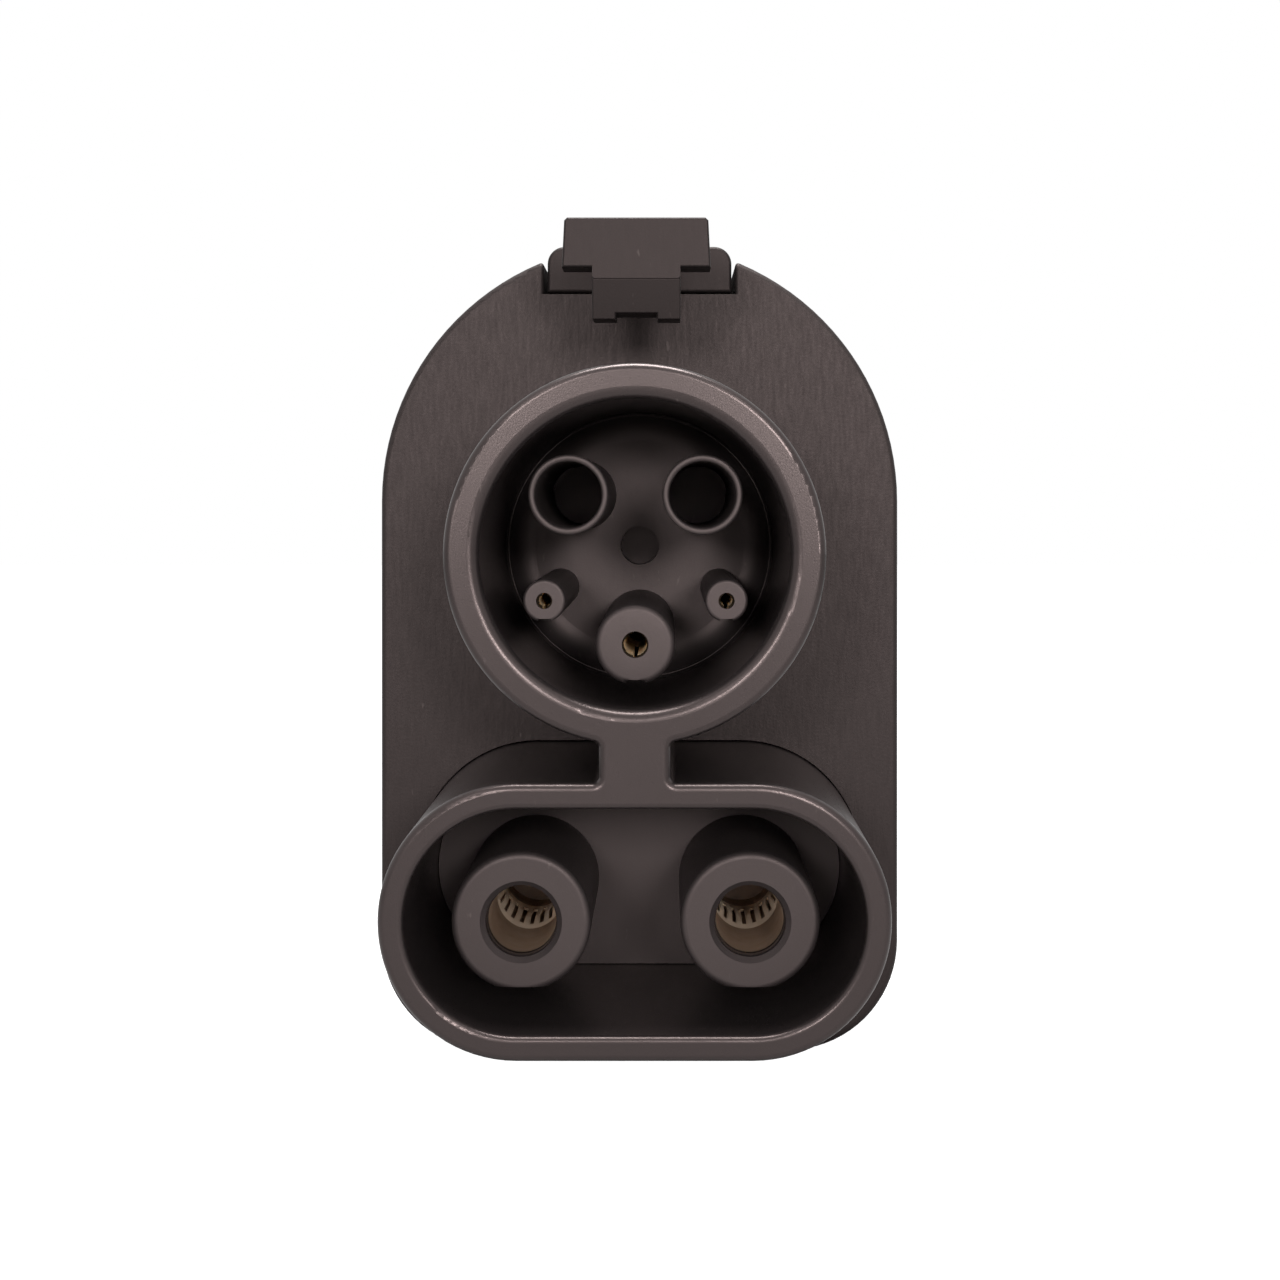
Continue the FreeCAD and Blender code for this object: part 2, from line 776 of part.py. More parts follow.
def build_screws(label, places, head_y, shank_length):
    """Four pan head screws that point forwards, as one group of separate solids."""
    body = new_body(label)
    extrude(body, f"{label}_heads", "front", head_y, dim.screw_head_height,
            *[circle(x, z, dim.screw_head / 2) for x, z in places])
    extrude(body, f"{label}_shanks", "front", head_y - shank_length, shank_length,
            *[circle(x, z, dim.screw_shank / 2) for x, z in places])
    extrude(body, f"{label}_drives", "front",
            head_y + dim.screw_head_height - dim.screw_drive_depth, dim.screw_drive_depth,
            *[hexagon(x, z, dim.screw_drive / 2) for x, z in places], cut=True)
    return body


def build_plug_shroud():
    """Smooth moulding with the ring, the neck and the lower shell, on a flange in the casing."""
    body = new_body("plug_shroud")
    nose_outline(body, "walls", ZERO, insert_depth, ZERO)
    nose_outline(body, "flange", flange_depth, dim.flange_thickness, flange_margin)
    extrude(body, "ring_bore", "front", rim_y, insert_depth,
            circle(ZERO, axis_z, dim.ring_bore / 2), cut=True)
    hollow = extrude(body, "shell_bore", "front", rim_y, insert_depth,
                     stadium(half_pitch, shell_z, dim.shell_bore_radius), cut=True)

    # small fillets where the neck meets the lower shell and the ring, then round rims
    half_neck = dim.neck_width / 2
    flange_y = rim_y + flange_depth
    on_neck_side = all_at(lambda point: abs(point.x), half_neck)
    neck = dress(body, "Fillet", "neck_corners", hollow, dim.neck_fillet,
                 lambda points: on_neck_side(points) and near(points[0].z, points[2].z)
                 and max(point.y for point in points) < flange_y.value + 0.01)
    ring_mouth = both(at_y(rim_y), all_at(radius_about(ZERO, axis_z), dim.ring_bore / 2))
    shell_mouth = both(at_y(rim_y), all_at(shell_distance, dim.shell_bore_radius))
    rims = dress(body, "Fillet", "outer_rims", neck, dim.rim_edge_radius,
                 lambda points: at_y(rim_y)(points)
                 and not ring_mouth(points) and not shell_mouth(points))
    mouth = dress(body, "Fillet", "ring_mouth", rims, dim.ring_mouth_radius, ring_mouth)
    dress(body, "Fillet", "shell_mouth", mouth, dim.shell_mouth_radius, shell_mouth)
    return body


def build_shroud_seal():
    """Rubber gasket between the shroud's flange and the inside of the plate."""
    body = new_body("shroud_seal")
    depth = dim.nose_reach + dim.casing_wall
    nose_outline(body, "gasket", depth, dim.shroud_seal_thickness,
                 flange_margin - dim.fit_gap)
    nose_outline(body, "gasket_opening", depth, dim.shroud_seal_thickness, dim.fit_gap, cut=True)
    return body


def key_cut(x, z, sleeve_radius, width, depth):
    """The shallow groove along the underside of a sleeve."""
    half = width / 2
    return rectangle(x - half, z - sleeve_radius - depth, x + half, z - sleeve_radius + depth)


def build_ac_insert():
    """Upper insert: dished floor, two empty tubes and the three sleeves of the small contacts."""
    body = new_body("ac_insert", z=axis_z)
    outside = dim.ring_bore / 2 - insert_gap
    floor_y = rim_y + dim.ring_floor_depth
    back_y = rim_y + insert_depth
    rim_top = dim.floor_lip
    lip_y = floor_y - dim.floor_fillet
    fillet_centre = (outside - rim_top - dim.floor_fillet, lip_y)
    turn(body, "floor", path(
        (ZERO, floor_y),
        ((outside - rim_top - dim.floor_fillet, floor_y),),
        ((outside - rim_top, lip_y), fillet_centre, False),
        ((outside, lip_y),),
        ((outside, back_y),),
        ((ZERO, back_y),),
        ((ZERO, floor_y),),
    ))
    line_x = dim.line_spacing / 2
    pilot_x = dim.pilot_spacing / 2
    tube_y = rim_y + dim.line_tube_recess
    pilot_y = rim_y + dim.pilot_recess
    earth_y = rim_y + dim.earth_recess
    tube_radius = dim.line_tube_outer / 2
    pilot_radius = dim.pilot_sleeve / 2
    earth_radius = dim.earth_sleeve / 2
    lines = [(side * line_x, dim.line_rise) for name, side in SIDES]
    pilots = [(side * pilot_x, -dim.pilot_drop) for name, side in SIDES]
    extrude(body, "line_tubes", "front", tube_y, floor_y - tube_y,
            *[circle(x, z, tube_radius) for x, z in lines])
    extrude(body, "pilot_sleeves", "front", pilot_y, floor_y - pilot_y,
            *[circle(x, z, pilot_radius) for x, z in pilots])
    sleeves = extrude(body, "earth_sleeve", "front", earth_y, floor_y - earth_y,
                      circle(ZERO, -dim.earth_drop, earth_radius))
    earth_rim = dress(body, "Fillet", "earth_sleeve_edge", sleeves, dim.earth_edge_radius,
                      both(at_y(earth_y), all_at(radius_about(ZERO, -dim.earth_drop),
                                                 earth_radius)))
    small_rims = dress(body, "Fillet", "pilot_sleeve_edges", earth_rim, dim.sleeve_edge_radius,
                       lambda points: any(both(at_y(pilot_y),
                                               all_at(radius_about(x, z), pilot_radius))(points)
                                          for x, z in pilots))
    tubes = extrude(body, "line_tube_bores", "front", tube_y, dim.line_tube_floor
                    - dim.line_tube_recess,
                    *[circle(x, z, dim.line_tube_bore / 2) for x, z in lines], cut=True)
    dress(body, "Fillet", "line_tube_rims", tubes, dim.tube_rim_radius,
          lambda points: any(both(at_y(tube_y), all_at(radius_about(x, z), radius))(points)
                             for x, z in lines
                             for radius in (tube_radius, dim.line_tube_bore / 2)))

    # entries, contact seats from behind, shoulders and the groove under each sleeve
    for name, places, face_y, sleeve, entry, contact, key in (
        ("pilot", pilots, pilot_y, pilot_radius, dim.pilot_entry, dim.pilot_contact_outer,
         dim.pilot_key_width),
        ("earth", [(ZERO, -dim.earth_drop)], earth_y, earth_radius, dim.earth_entry,
         dim.earth_contact_outer, dim.earth_key_width),
    ):
        seat_y = face_y + dim.entry_lip
        shoulder_y = back_y - dim.small_shoulder_length
        extrude(body, f"{name}_entry", "front", face_y, dim.entry_lip,
                *[circle(x, z, entry / 2) for x, z in places], cut=True)
        extrude(body, f"{name}_seat", "front", seat_y, back_y - seat_y,
                *[circle(x, z, contact / 2 + dim.contact_gap) for x, z in places], cut=True)
        extrude(body, f"{name}_shoulder_seat", "front", shoulder_y, dim.small_shoulder_length,
                *[circle(x, z, contact / 2 + dim.small_shoulder_rim + dim.contact_gap)
                  for x, z in places], cut=True)
        extrude(body, f"{name}_key", "front", face_y, floor_y - face_y,
                *[key_cut(x, z, sleeve, key, dim.small_key_depth) for x, z in places],
                cut=True)
    extrude(body, "blind_hole", "front", floor_y, dim.blind_hole_depth,
            circle(ZERO, ZERO, dim.blind_hole / 2), cut=True)
    return body


def build_dc_insert():
    """Lower insert: floor plate and the two thick sleeves of the power contacts."""
    body = new_body("dc_insert")
    floor_y = rim_y + dim.shell_floor_depth
    back_y = rim_y + insert_depth
    face_y = rim_y + dim.power_sleeve_recess
    seat_y = face_y + dim.power_lip
    radius = dim.power_sleeve / 2
    places = [(side * half_pitch, power_z) for name, side in SIDES]
    extrude(body, "floor", "front", floor_y, back_y - floor_y,
            stadium(half_pitch, shell_z, dim.shell_bore_radius - insert_gap))
    sleeves = extrude(body, "power_sleeves", "front", face_y, floor_y - face_y,
                      *[circle(x, z, radius) for x, z in places])
    dress(body, "Fillet", "power_sleeve_edges", sleeves, dim.power_sleeve_edge,
          lambda points: any(both(at_y(face_y), all_at(radius_about(x, z), radius))(points)
                             for x, z in places))
    entry = extrude(body, "power_entries", "front", face_y, dim.power_lip,
                    *[circle(x, z, dim.power_entry / 2) for x, z in places], cut=True)
    dress(body, "Chamfer", "entry_chamfers", entry, dim.power_entry_chamfer,
          lambda points: any(both(at_y(face_y),
                                  all_at(radius_about(x, z), dim.power_entry / 2))(points)
                             for x, z in places))
    extrude(body, "power_seats", "front", seat_y, back_y - seat_y,
            *[circle(x, z, dim.power_contact_outer / 2 + dim.contact_gap) for x, z in places],
            cut=True)
    extrude(body, "shoulder_seats", "front", back_y - dim.shoulder_thickness,
            dim.shoulder_thickness,
            *[circle(x, z, dim.shoulder_width / 2 + dim.contact_gap) for x, z in places],
            cut=True)
    extrude(body, "power_keys", "front", face_y, floor_y - face_y,
            *[key_cut(x, z, radius, dim.power_key_width, dim.power_key_depth)
              for x, z in places], cut=True)
    return body


power_contact_y = rim_y + dim.power_sleeve_recess + dim.power_lip + dim.contact_gap
band_seat_y = power_contact_y + dim.power_contact_reach
busbar_front_y = rim_y + board_back_depth + dim.busbar_board_gap + dim.busbar_thickness / 2
earth_bar_front_y = (rim_y + board_back_depth + dim.earth_bar_board_gap
                     + dim.earth_bar_thickness / 2)
pin_flange_y = rim_y + pin_flange_depth


def build_dc_socket(name, side):
    """Turned power contact: smooth entry, seat for the louvred band, shoulder and tail."""
    body = new_body(f"dc_socket_{name}", x=side * half_pitch, z=power_z)
    outer = dim.power_contact_outer / 2
    bore = dim.power_contact_bore / 2
    rear_bore = dim.power_contact_rear_bore / 2
    seat = dim.band_seat / 2
    tail = dim.power_tail / 2
    back_y = rim_y + insert_depth
    tab_y = busbar_front_y - dim.busbar_thickness / 2
    tail_y = busbar_front_y + dim.busbar_thickness / 2 + dim.rivet_proud
    bore_end_y = power_contact_y + dim.power_contact_depth
    turn(body, "contact", polygon(
        (bore, power_contact_y),
        (outer, power_contact_y),
        (outer, back_y - dim.shoulder_thickness),
        (dim.shoulder_width / 2, back_y - dim.shoulder_thickness),
        (dim.shoulder_width / 2, back_y),
        (outer, back_y),
        (outer, tab_y),
        (tail, tab_y),
        (tail, tail_y),
        (ZERO, tail_y),
        (ZERO, bore_end_y),
        (rear_bore, bore_end_y),
        (rear_bore, band_seat_y + dim.band_length),
        (seat, band_seat_y + dim.band_length),
        (seat, band_seat_y),
        (bore, band_seat_y),
    ))
    return body


def build_louvre_band(name, side):
    """Slotted sheet band that narrows to a waist and grips the mating power pin."""
    body = new_body(f"louvre_band_{name}", x=side * half_pitch, y=band_seat_y, z=power_z)
    rim = dim.band_rim_length
    end_bore = dim.band_end_bore / 2
    waist = dim.band_waist / 2
    outside = dim.band_seat / 2 - dim.contact_gap
    middle = dim.band_length / 2
    flat = dim.band_waist_length / 2
    turn(body, "band", polygon(
        (end_bore, dim.contact_gap),
        (outside, dim.contact_gap),
        (outside, rim),
        (end_bore + dim.band_sheet, rim),
        (waist + dim.band_sheet, middle - flat),
        (waist + dim.band_sheet, middle + flat),
        (end_bore + dim.band_sheet, dim.band_length - rim),
        (outside, dim.band_length - rim),
        (outside, dim.band_length - dim.contact_gap),
        (end_bore, dim.band_length - dim.contact_gap),
        (end_bore, dim.band_length - rim),
        (waist, middle + flat),
        (waist, middle - flat),
        (end_bore, rim),
    ))
    half_slot = dim.band_slot_length / 2
    slot = extrude(body, "slot", "top", ZERO, outside,
                   rectangle(-(dim.band_slot_width / 2), middle - half_slot,
                             dim.band_slot_width / 2, middle + half_slot), cut=True)
    pattern = body.newObject("PartDesign::PolarPattern", "slots")
    pattern.Originals = [slot]
    axis = [item for item in body.Origin.OriginFeatures if item.Role == "Y_Axis"][0]
    pattern.Axis = (axis, [""])
    pattern.Angle = 360
    bind(pattern, "Occurrences", dim.band_slots)
    body.Tip = pattern
    return body


def build_small_socket(label, x, z, face_depth, outer, bore, tail, tail_y, shank=()):
    """Turned signal or earth contact, split by a slit from its mouth."""
    body = new_body(label, x=x, z=z)
    mouth_y = rim_y + face_depth + dim.entry_lip + dim.contact_gap
    back_y = rim_y + insert_depth
    shoulder = outer + dim.small_shoulder_rim
    turn(body, "contact", polygon(
        (bore, mouth_y),
        (outer, mouth_y),
        (outer, back_y - dim.small_shoulder_length),
        (shoulder, back_y - dim.small_shoulder_length),
        (shoulder, back_y),
        *shank,
        (tail, shank[-1][1] if shank else back_y),
        (tail, tail_y),
        (ZERO, tail_y),
        (ZERO, mouth_y + dim.small_contact_depth),
        (bore, mouth_y + dim.small_contact_depth),
    ))
    half_slit = dim.contact_slit / 2
    extrude(body, "slit", "front", mouth_y, dim.slit_length,
            rectangle(-half_slit, -shoulder, half_slit, shoulder), cut=True)
    return body


def build_retainer_plate():
    """Plate that traps the inserts and contacts and carries the circuit board."""
    body = new_body("retainer_plate")
    front_y = rim_y + insert_depth
    back_y = rim_y + retainer_back_depth
    inset = dim.casing_wall + dim.retainer_margin
    gap = dim.retainer_hole_gap
    extrude(body, "plate", "front", front_y, dim.retainer_thickness,
            arched(half_body - inset, crown_z - dim.retainer_crown_drop, inset,
                   dim.foot_radius - inset))
    extrude(body, "board_bosses", "front", back_y, dim.board_standoff,
            *[circle(x, z, dim.board_boss_radius) for x, z in BOARD_STAKES])
    extrude(body, "board_stakes", "front", back_y,
            dim.board_standoff + dim.board_thickness + dim.stake_proud,
            *[circle(x, z, dim.stake_radius) for x, z in BOARD_STAKES])
    pilot_x = dim.pilot_spacing / 2
    holes = [circle(side * half_pitch, power_z, dim.power_contact_outer / 2 + gap)
             for name, side in SIDES]
    holes += [circle(side * pilot_x, pilot_z, dim.solder_tail / 2 + gap) for name, side in SIDES]
    holes.append(circle(ZERO, earth_z, dim.earth_contact_outer / 2 + gap))
    holes += [circle(x, z, dim.screw_shank / 2 + dim.screw_hole_gap) for x, z in RETAINER_SCREWS]
    extrude(body, "holes", "front", front_y, dim.retainer_thickness, *holes, cut=True)
    return body


def build_signal_board():
    """Bare circuit board that joins the two small contacts to the leads of the inlet."""
    body = new_body("signal_board")
    half = dim.board_width / 2
    board_y = rim_y + board_depth
    extrude(body, "board", "front", board_y, dim.board_thickness,
            rounded_rectangle(-half, board_base_z, half, board_base_z + dim.board_height,
                              dim.board_corner))
    pilot_x = dim.pilot_spacing / 2
    holes = [circle(side * pilot_x, pilot_z, dim.solder_tail / 2 + dim.contact_gap)
             for name, side in SIDES]
    holes.append(circle(ZERO, earth_z, dim.earth_contact_outer / 2 + dim.retainer_hole_gap))
    holes += [circle(x, z, dim.stake_radius + dim.contact_gap) for x, z in BOARD_STAKES]
    extrude(body, "holes", "front", board_y, dim.board_thickness, *holes, cut=True)
    return body


def sweep(body, name, profile, spine):
    """Carry a profile along a path of straight runs and tangent bends."""
    feature = body.newObject("PartDesign::AdditivePipe", name)
    feature.Profile = profile
    feature.Spine = (spine, [""])
    return feature


def build_busbar(name, side):
    """Flat copper bar, bent twice, from a power contact up to its pin."""
    body = new_body(f"busbar_{name}")
    centre_x = side * (dim.contact_pitch + dim.power_pin_spacing) / 4
    bend = dim.busbar_bend
    half_thick = dim.busbar_thickness / 2
    front_y = busbar_front_y
    back_y = pin_flange_y - half_thick
    low_z = power_z - dim.busbar_margin
    high_z = power_pin_z + dim.busbar_margin
    run_z = busbar_run_z
    profile = new_sketch(body, "section", "top", low_z)
    half_width = dim.busbar_width / 2
    rectangle(centre_x - half_width, front_y - half_thick,
              centre_x + half_width, front_y + half_thick)(profile)
    spine = new_sketch(body, "route", "side", centre_x)
    draw_path(spine, (front_y, low_z), [
        ((front_y, run_z - bend),),
        ((front_y + bend, run_z), (front_y + bend, run_z - bend), False),
        ((back_y - bend, run_z),),
        ((back_y, run_z + bend), (back_y - bend, run_z + bend), True),
        ((back_y, high_z),),
    ], closed=False)
    sweep(body, "bar", profile, spine)
    extrude(body, "contact_hole", "front", front_y - half_thick, dim.busbar_thickness,
            circle(side * half_pitch, power_z, dim.power_tail / 2 + dim.contact_gap), cut=True)
    extrude(body, "pin_hole", "front", back_y - half_thick, dim.busbar_thickness,
            circle(side * dim.power_pin_spacing / 2, power_pin_z,
                   dim.pin_tail / 2 + dim.contact_gap), cut=True)
    return body


def build_earth_bar():
    """Flat bar, bent into a shallow tray shape, from the earth contact to the earth pin."""
    body = new_body("earth_bar")
    bend = dim.earth_bar_bend
    half_thick = dim.earth_bar_thickness / 2
    front_y = earth_bar_front_y
    back_y = pin_flange_y - half_thick
    run_z = dim.earth_bar_run_height
    top_z = earth_z + dim.earth_bar_margin
    profile = new_sketch(body, "section", "top", top_z)
    half_width = dim.earth_bar_width / 2
    rectangle(-half_width, front_y - half_thick, half_width, front_y + half_thick)(profile)
    spine = new_sketch(body, "route", "side")
    draw_path(spine, (front_y, top_z), [
        ((front_y, run_z + bend),),
        ((front_y + bend, run_z), (front_y + bend, run_z + bend), True),
        ((back_y - bend, run_z),),
        ((back_y, run_z + bend), (back_y - bend, run_z + bend), True),
        ((back_y, earth_pin_z + dim.earth_bar_margin),),
    ], closed=False)
    sweep(body, "bar", profile, spine)
    for label, y, z in (("contact", front_y, earth_z), ("pin", back_y, earth_pin_z)):
        extrude(body, f"{label}_hole", "front", y - half_thick, dim.earth_bar_thickness,
                circle(ZERO, z, dim.earth_tail / 2 + dim.contact_gap), cut=True)
    return body


def build_lead(label, side):
    """Stiff insulated lead from the circuit board to one of the inlet's signal pins."""
    body = new_body(label)
    front_x = side * dim.lead_front_x
    pin_x = side * dim.signal_pin_spacing / 2
    front_y = rim_y + board_back_depth
    bend_y = rim_y + dim.lead_bend_start
    bend = dim.lead_bend
    # each bend turns by 45 degrees, joined by a slanting run
    share = root(as_size(0.5))
    drop = bend * (1 - share.value)
    reach = bend * share
    slant = dim.lead_front_x - dim.signal_pin_spacing / 2 - drop * 2
    profile = new_sketch(body, "section", "front", front_y)
    circle(front_x, signal_z, dim.lead_width / 2)(profile)
    spine = new_sketch(body, "route", "top", signal_z)
    draw_path(spine, (front_x, front_y), [
        ((front_x, bend_y),),
        ((front_x - side * drop, bend_y + reach), (front_x - side * bend, bend_y), side > 0),
        ((pin_x + side * drop, bend_y + reach + slant),),
        ((pin_x, bend_y + reach * 2 + slant), (pin_x + side * bend, bend_y + reach * 2 + slant),
         side < 0),
        ((pin_x, pin_flange_y - dim.signal_tail),),
    ], closed=False)
    sweep(body, "wire", profile, spine)
    return body


def build_rear_inlet():
    """Insulating cup of the inlet: the floor that carries the pins and a smooth mouth."""
    body = new_body("rear_inlet")
    inset = dim.casing_wall + insert_gap
    half = dim.collar_width / 2
    front_y = rim_y + inlet_front_depth
    back_y = rim_y + inlet_back_depth
    floor_y = rim_y + dim.inlet_floor_depth
    extrude(body, "cup", "front", front_y, back_y - front_y,
            arched(half - inset, dim.inlet_height, dim.collar_base + inset,
                   dim.collar_corner - inset))
    inset = inset + dim.mouth_wall
    mouth = extrude(body, "mouth", "front", floor_y, back_y - floor_y,
                    arched(half - inset, dim.inlet_height, dim.collar_base + inset,
                           dim.collar_corner - inset), cut=True)
    doc.recompute()
    inner_top = dim.inlet_height + half - inset
    dress(body, "Chamfer", "mouth_edge", mouth, dim.mouth_chamfer,
          lambda points: at_y(back_y)(points)
          and max(point.z for point in points) < inner_top.value + 0.01
          and min(point.z for point in points) > (dim.collar_base + inset).value - 0.01
          and max(abs(point.x) for point in points) < (half - inset).value + 0.01)
    window_back_y = back_y - dim.latch_window_setback
    half_window = dim.latch_window_width / 2
    extrude(body, "latch_window", "top", inner_top - dim.mouth_wall, dim.mouth_wall * 3,
            rectangle(-half_window, window_back_y - dim.latch_window_length,
                      half_window, window_back_y), cut=True)
    gap = dim.pin_collar_rim + dim.contact_gap
    holes = [circle(side * dim.power_pin_spacing / 2, power_pin_z, dim.power_pin / 2 + gap)
             for name, side in SIDES]
    holes += [circle(side * dim.signal_pin_spacing / 2, signal_z, dim.signal_pin / 2 + gap)
              for name, side in SIDES]
    holes.append(circle(ZERO, earth_pin_z, dim.earth_pin / 2 + gap))
    extrude(body, "pin_holes", "front", front_y, dim.inlet_floor_thickness, *holes, cut=True)
    return body


def pin_profile(radius, tail, tail_y, end_y, end_chamfer):
    """Outline of a turned pin: tail, flange, collar in the inlet's floor and round shank."""
    flange = radius + dim.pin_flange_rim
    collar = radius + dim.pin_collar_rim
    flange_back_y = pin_flange_y + dim.pin_flange_thickness
    floor_y = rim_y + dim.inlet_floor_depth
    return polygon(
        (ZERO, tail_y),
        (tail, tail_y),
        (tail, pin_flange_y),
        (flange, pin_flange_y),
        (flange, flange_back_y),
        (collar, flange_back_y),
        (collar, floor_y),
        (radius, floor_y),
        (radius, end_y - end_chamfer),
        (radius - end_chamfer, end_y),
        (ZERO, end_y),
    )


def build_power_pin(name, side):
    """Male power pin of the inlet, with a spigot for its touch-safe tip."""
    body = new_body(f"power_pin_{name}", x=side * dim.power_pin_spacing / 2, z=power_pin_z)
    tail_y = pin_flange_y - dim.busbar_thickness - dim.rivet_proud
    end_y = rim_y + dim.power_pin_end
    turn(body, "pin", pin_profile(dim.power_pin / 2, dim.pin_tail / 2, tail_y, end_y,
                                  dim.pin_end_break))
    extrude(body, "spigot", "front", end_y, dim.pin_tip_length / 2,
            circle(ZERO, ZERO, dim.tip_spigot / 2))
    return body


def build_pin_tip(name, side):
    """Insulating tip that caps a power pin against touch."""
    body = new_body(f"pin_tip_{name}", x=side * dim.power_pin_spacing / 2, z=power_pin_z)
    start_y = rim_y + dim.power_pin_end
    socket = dim.tip_spigot / 2 + dim.contact_gap
    radius = dim.power_pin / 2 - dim.tip_rebate
    dome = dim.tip_dome_radius
    end_y = start_y + dim.pin_tip_length
    turn(body, "tip", path(
        (socket, start_y),
        ((radius, start_y),),
        ((radius, end_y - dome),),
        ((radius - dome, end_y), (radius - dome, end_y - dome), True),
        ((ZERO, end_y),),
        ((ZERO, start_y + dim.pin_tip_length / 2 + dim.contact_gap),),
        ((socket, start_y + dim.pin_tip_length / 2 + dim.contact_gap),),
        ((socket, start_y),),
    ))
    return body


def build_small_pin(label, x, z, radius, tail, tail_y, end_depth):
    """Earth or signal pin of the inlet."""
    body = new_body(label, x=x, z=z)
    turn(body, "pin", pin_profile(radius, tail, tail_y, rim_y + end_depth, dim.small_pin_nose))
    return body


def build_latch_lever():
    """Rocker on the channel's pivot pin, with the T-ended hook in front and the thumb pad behind."""
    body = new_body("latch_lever")
    block_y = rim_y + dim.nose_reach + dim.lever_rest_gap
    back_y = rim_y + lever_back_depth
    top_z = casing_top_z - dim.lever_top_drop
    corner = dim.lever_corner
    block = extrude(body, "rocker", "front", block_y, back_y - block_y, path(
        (-half_lever, lever_bottom_z),
        ((half_lever, lever_bottom_z),),
        ((half_lever, top_z - corner),),
        ((half_lever - corner, top_z), (half_lever - corner, top_z - corner), True),
        ((-(half_lever - corner), top_z),),
        ((-half_lever, top_z - corner), (-(half_lever - corner), top_z - corner), True),
        ((-half_lever, lever_bottom_z),),
    ))
    dress(body, "Fillet", "rocker_edges", block, dim.lever_edge_radius,
          lambda points: at_y(block_y)(points) or at_y(back_y)(points))
    extrude(body, "hub", "side", -half_lever, half_lever * 2,
            circle(pivot_y, pivot_z, dim.pivot_hub_radius))

    # narrow arm that reaches out over the ring and ends in the wide bar of the T
    hook_y = rim_y + dim.hook_depth
    arm_bottom = casing_top_z - dim.arm_bottom_drop
    arm_top = casing_top_z - dim.arm_top_drop
    half_top = dim.arm_top_width / 2
    half_bottom = dim.arm_bottom_width / 2
    half_hook = dim.hook_width / 2
    extrude(body, "arm", "front", hook_y + dim.bar_edge_radius,
            block_y + corner - hook_y - dim.bar_edge_radius,
            rectangle(-half_hook, arm_bottom, half_hook, arm_top))
    bar = extrude(body, "bar", "front", hook_y, dim.bar_thickness, polygon(
        (-half_bottom, arm_bottom),
        (half_bottom, arm_bottom),
        (half_top + dim.arm_corner * (half_bottom - half_top) / (arm_top - arm_bottom),
         arm_top - dim.arm_corner),
        (half_top - dim.arm_corner, arm_top),
        (-(half_top - dim.arm_corner), arm_top),
        (-(half_top + dim.arm_corner * (half_bottom - half_top) / (arm_top - arm_bottom)),
         arm_top - dim.arm_corner),
    ))
    dress(body, "Fillet", "bar_edges", bar, dim.bar_edge_radius, at_y(hook_y))
    tip_z = casing_top_z - dim.hook_tip_drop
    crease_z = casing_top_z - dim.hook_crease_drop
    hook_back_y = hook_y + dim.hook_thickness
    root_radius = dim.hook_root_radius
    hook = extrude(body, "hook", "side", -half_hook, half_hook * 2, path(
        (hook_y, crease_z),
        ((hook_y + dim.hook_ramp_run, tip_z),),
        ((hook_back_y, tip_z),),
        ((hook_back_y, arm_bottom - root_radius),),
        ((hook_back_y + root_radius, arm_bottom),
         (hook_back_y + root_radius, arm_bottom - root_radius), False),
        ((hook_back_y + root_radius, (arm_bottom + arm_top) / 2),),
        ((hook_y, (arm_bottom + arm_top) / 2),),
        ((hook_y, crease_z),),
    ))
    on_hook_side = all_at(lambda point: abs(point.x), half_hook)
    dress(body, "Fillet", "hook_edges", hook, dim.hook_edge_radius,
          lambda points: on_hook_side(points)
          and max(point.z for point in points) < crease_z.value + 0.01
          and max(point.y for point in points) < (hook_y + dim.hook_ramp_run).value + 0.01)
    half_notch = dim.tip_notch_width / 2
    extrude(body, "tip_notch", "front", hook_y, dim.hook_thickness,
            rectangle(-half_notch, tip_z - dim.tip_notch_height, half_notch,
                      tip_z + dim.tip_notch_height), cut=True)

    # thumb pad with grip ribs across the back of the rocker
    pad_start = back_y - dim.thumb_pad_length
    rib_step = (dim.thumb_pad_length - dim.lever_corner) / dim.thumb_ribs
    half_rib = half_lever - corner * 1.5
    for number in range(int(dim.thumb_ribs.value)):
        rib_y = pad_start + rib_step * number
        extrude(body, f"thumb_rib_{number + 1}", "side", -half_rib, half_rib * 2, path(
            (rib_y, top_z - dim.thumb_rib_height),
            ((rib_y + dim.thumb_rib_width, top_z - dim.thumb_rib_height),),
            ((rib_y + dim.thumb_rib_width, top_z),),
            ((rib_y, top_z), (rib_y + dim.thumb_rib_width / 2, top_z), True),
            ((rib_y, top_z - dim.thumb_rib_height),),
        ))
    extrude(body, "pivot_bore", "side", -half_lever, half_lever * 2,
            circle(pivot_y, pivot_z, dim.pivot_pin / 2 + dim.pivot_running_gap), cut=True)
    extrude(body, "spring_pocket", "top", lever_bottom_z, dim.spring_pocket_depth,
            circle(ZERO, spring_y, spring_pocket_radius), cut=True)
    return body


def build_latch_pin():
    """Steel pivot pin held in the two walls of the channel."""
    body = new_body("latch_pin")
    half = half_channel + dim.pivot_grip
    extrude(body, "pin", "side", -half, half * 2, circle(pivot_y, pivot_z, dim.pivot_pin / 2))
    return body


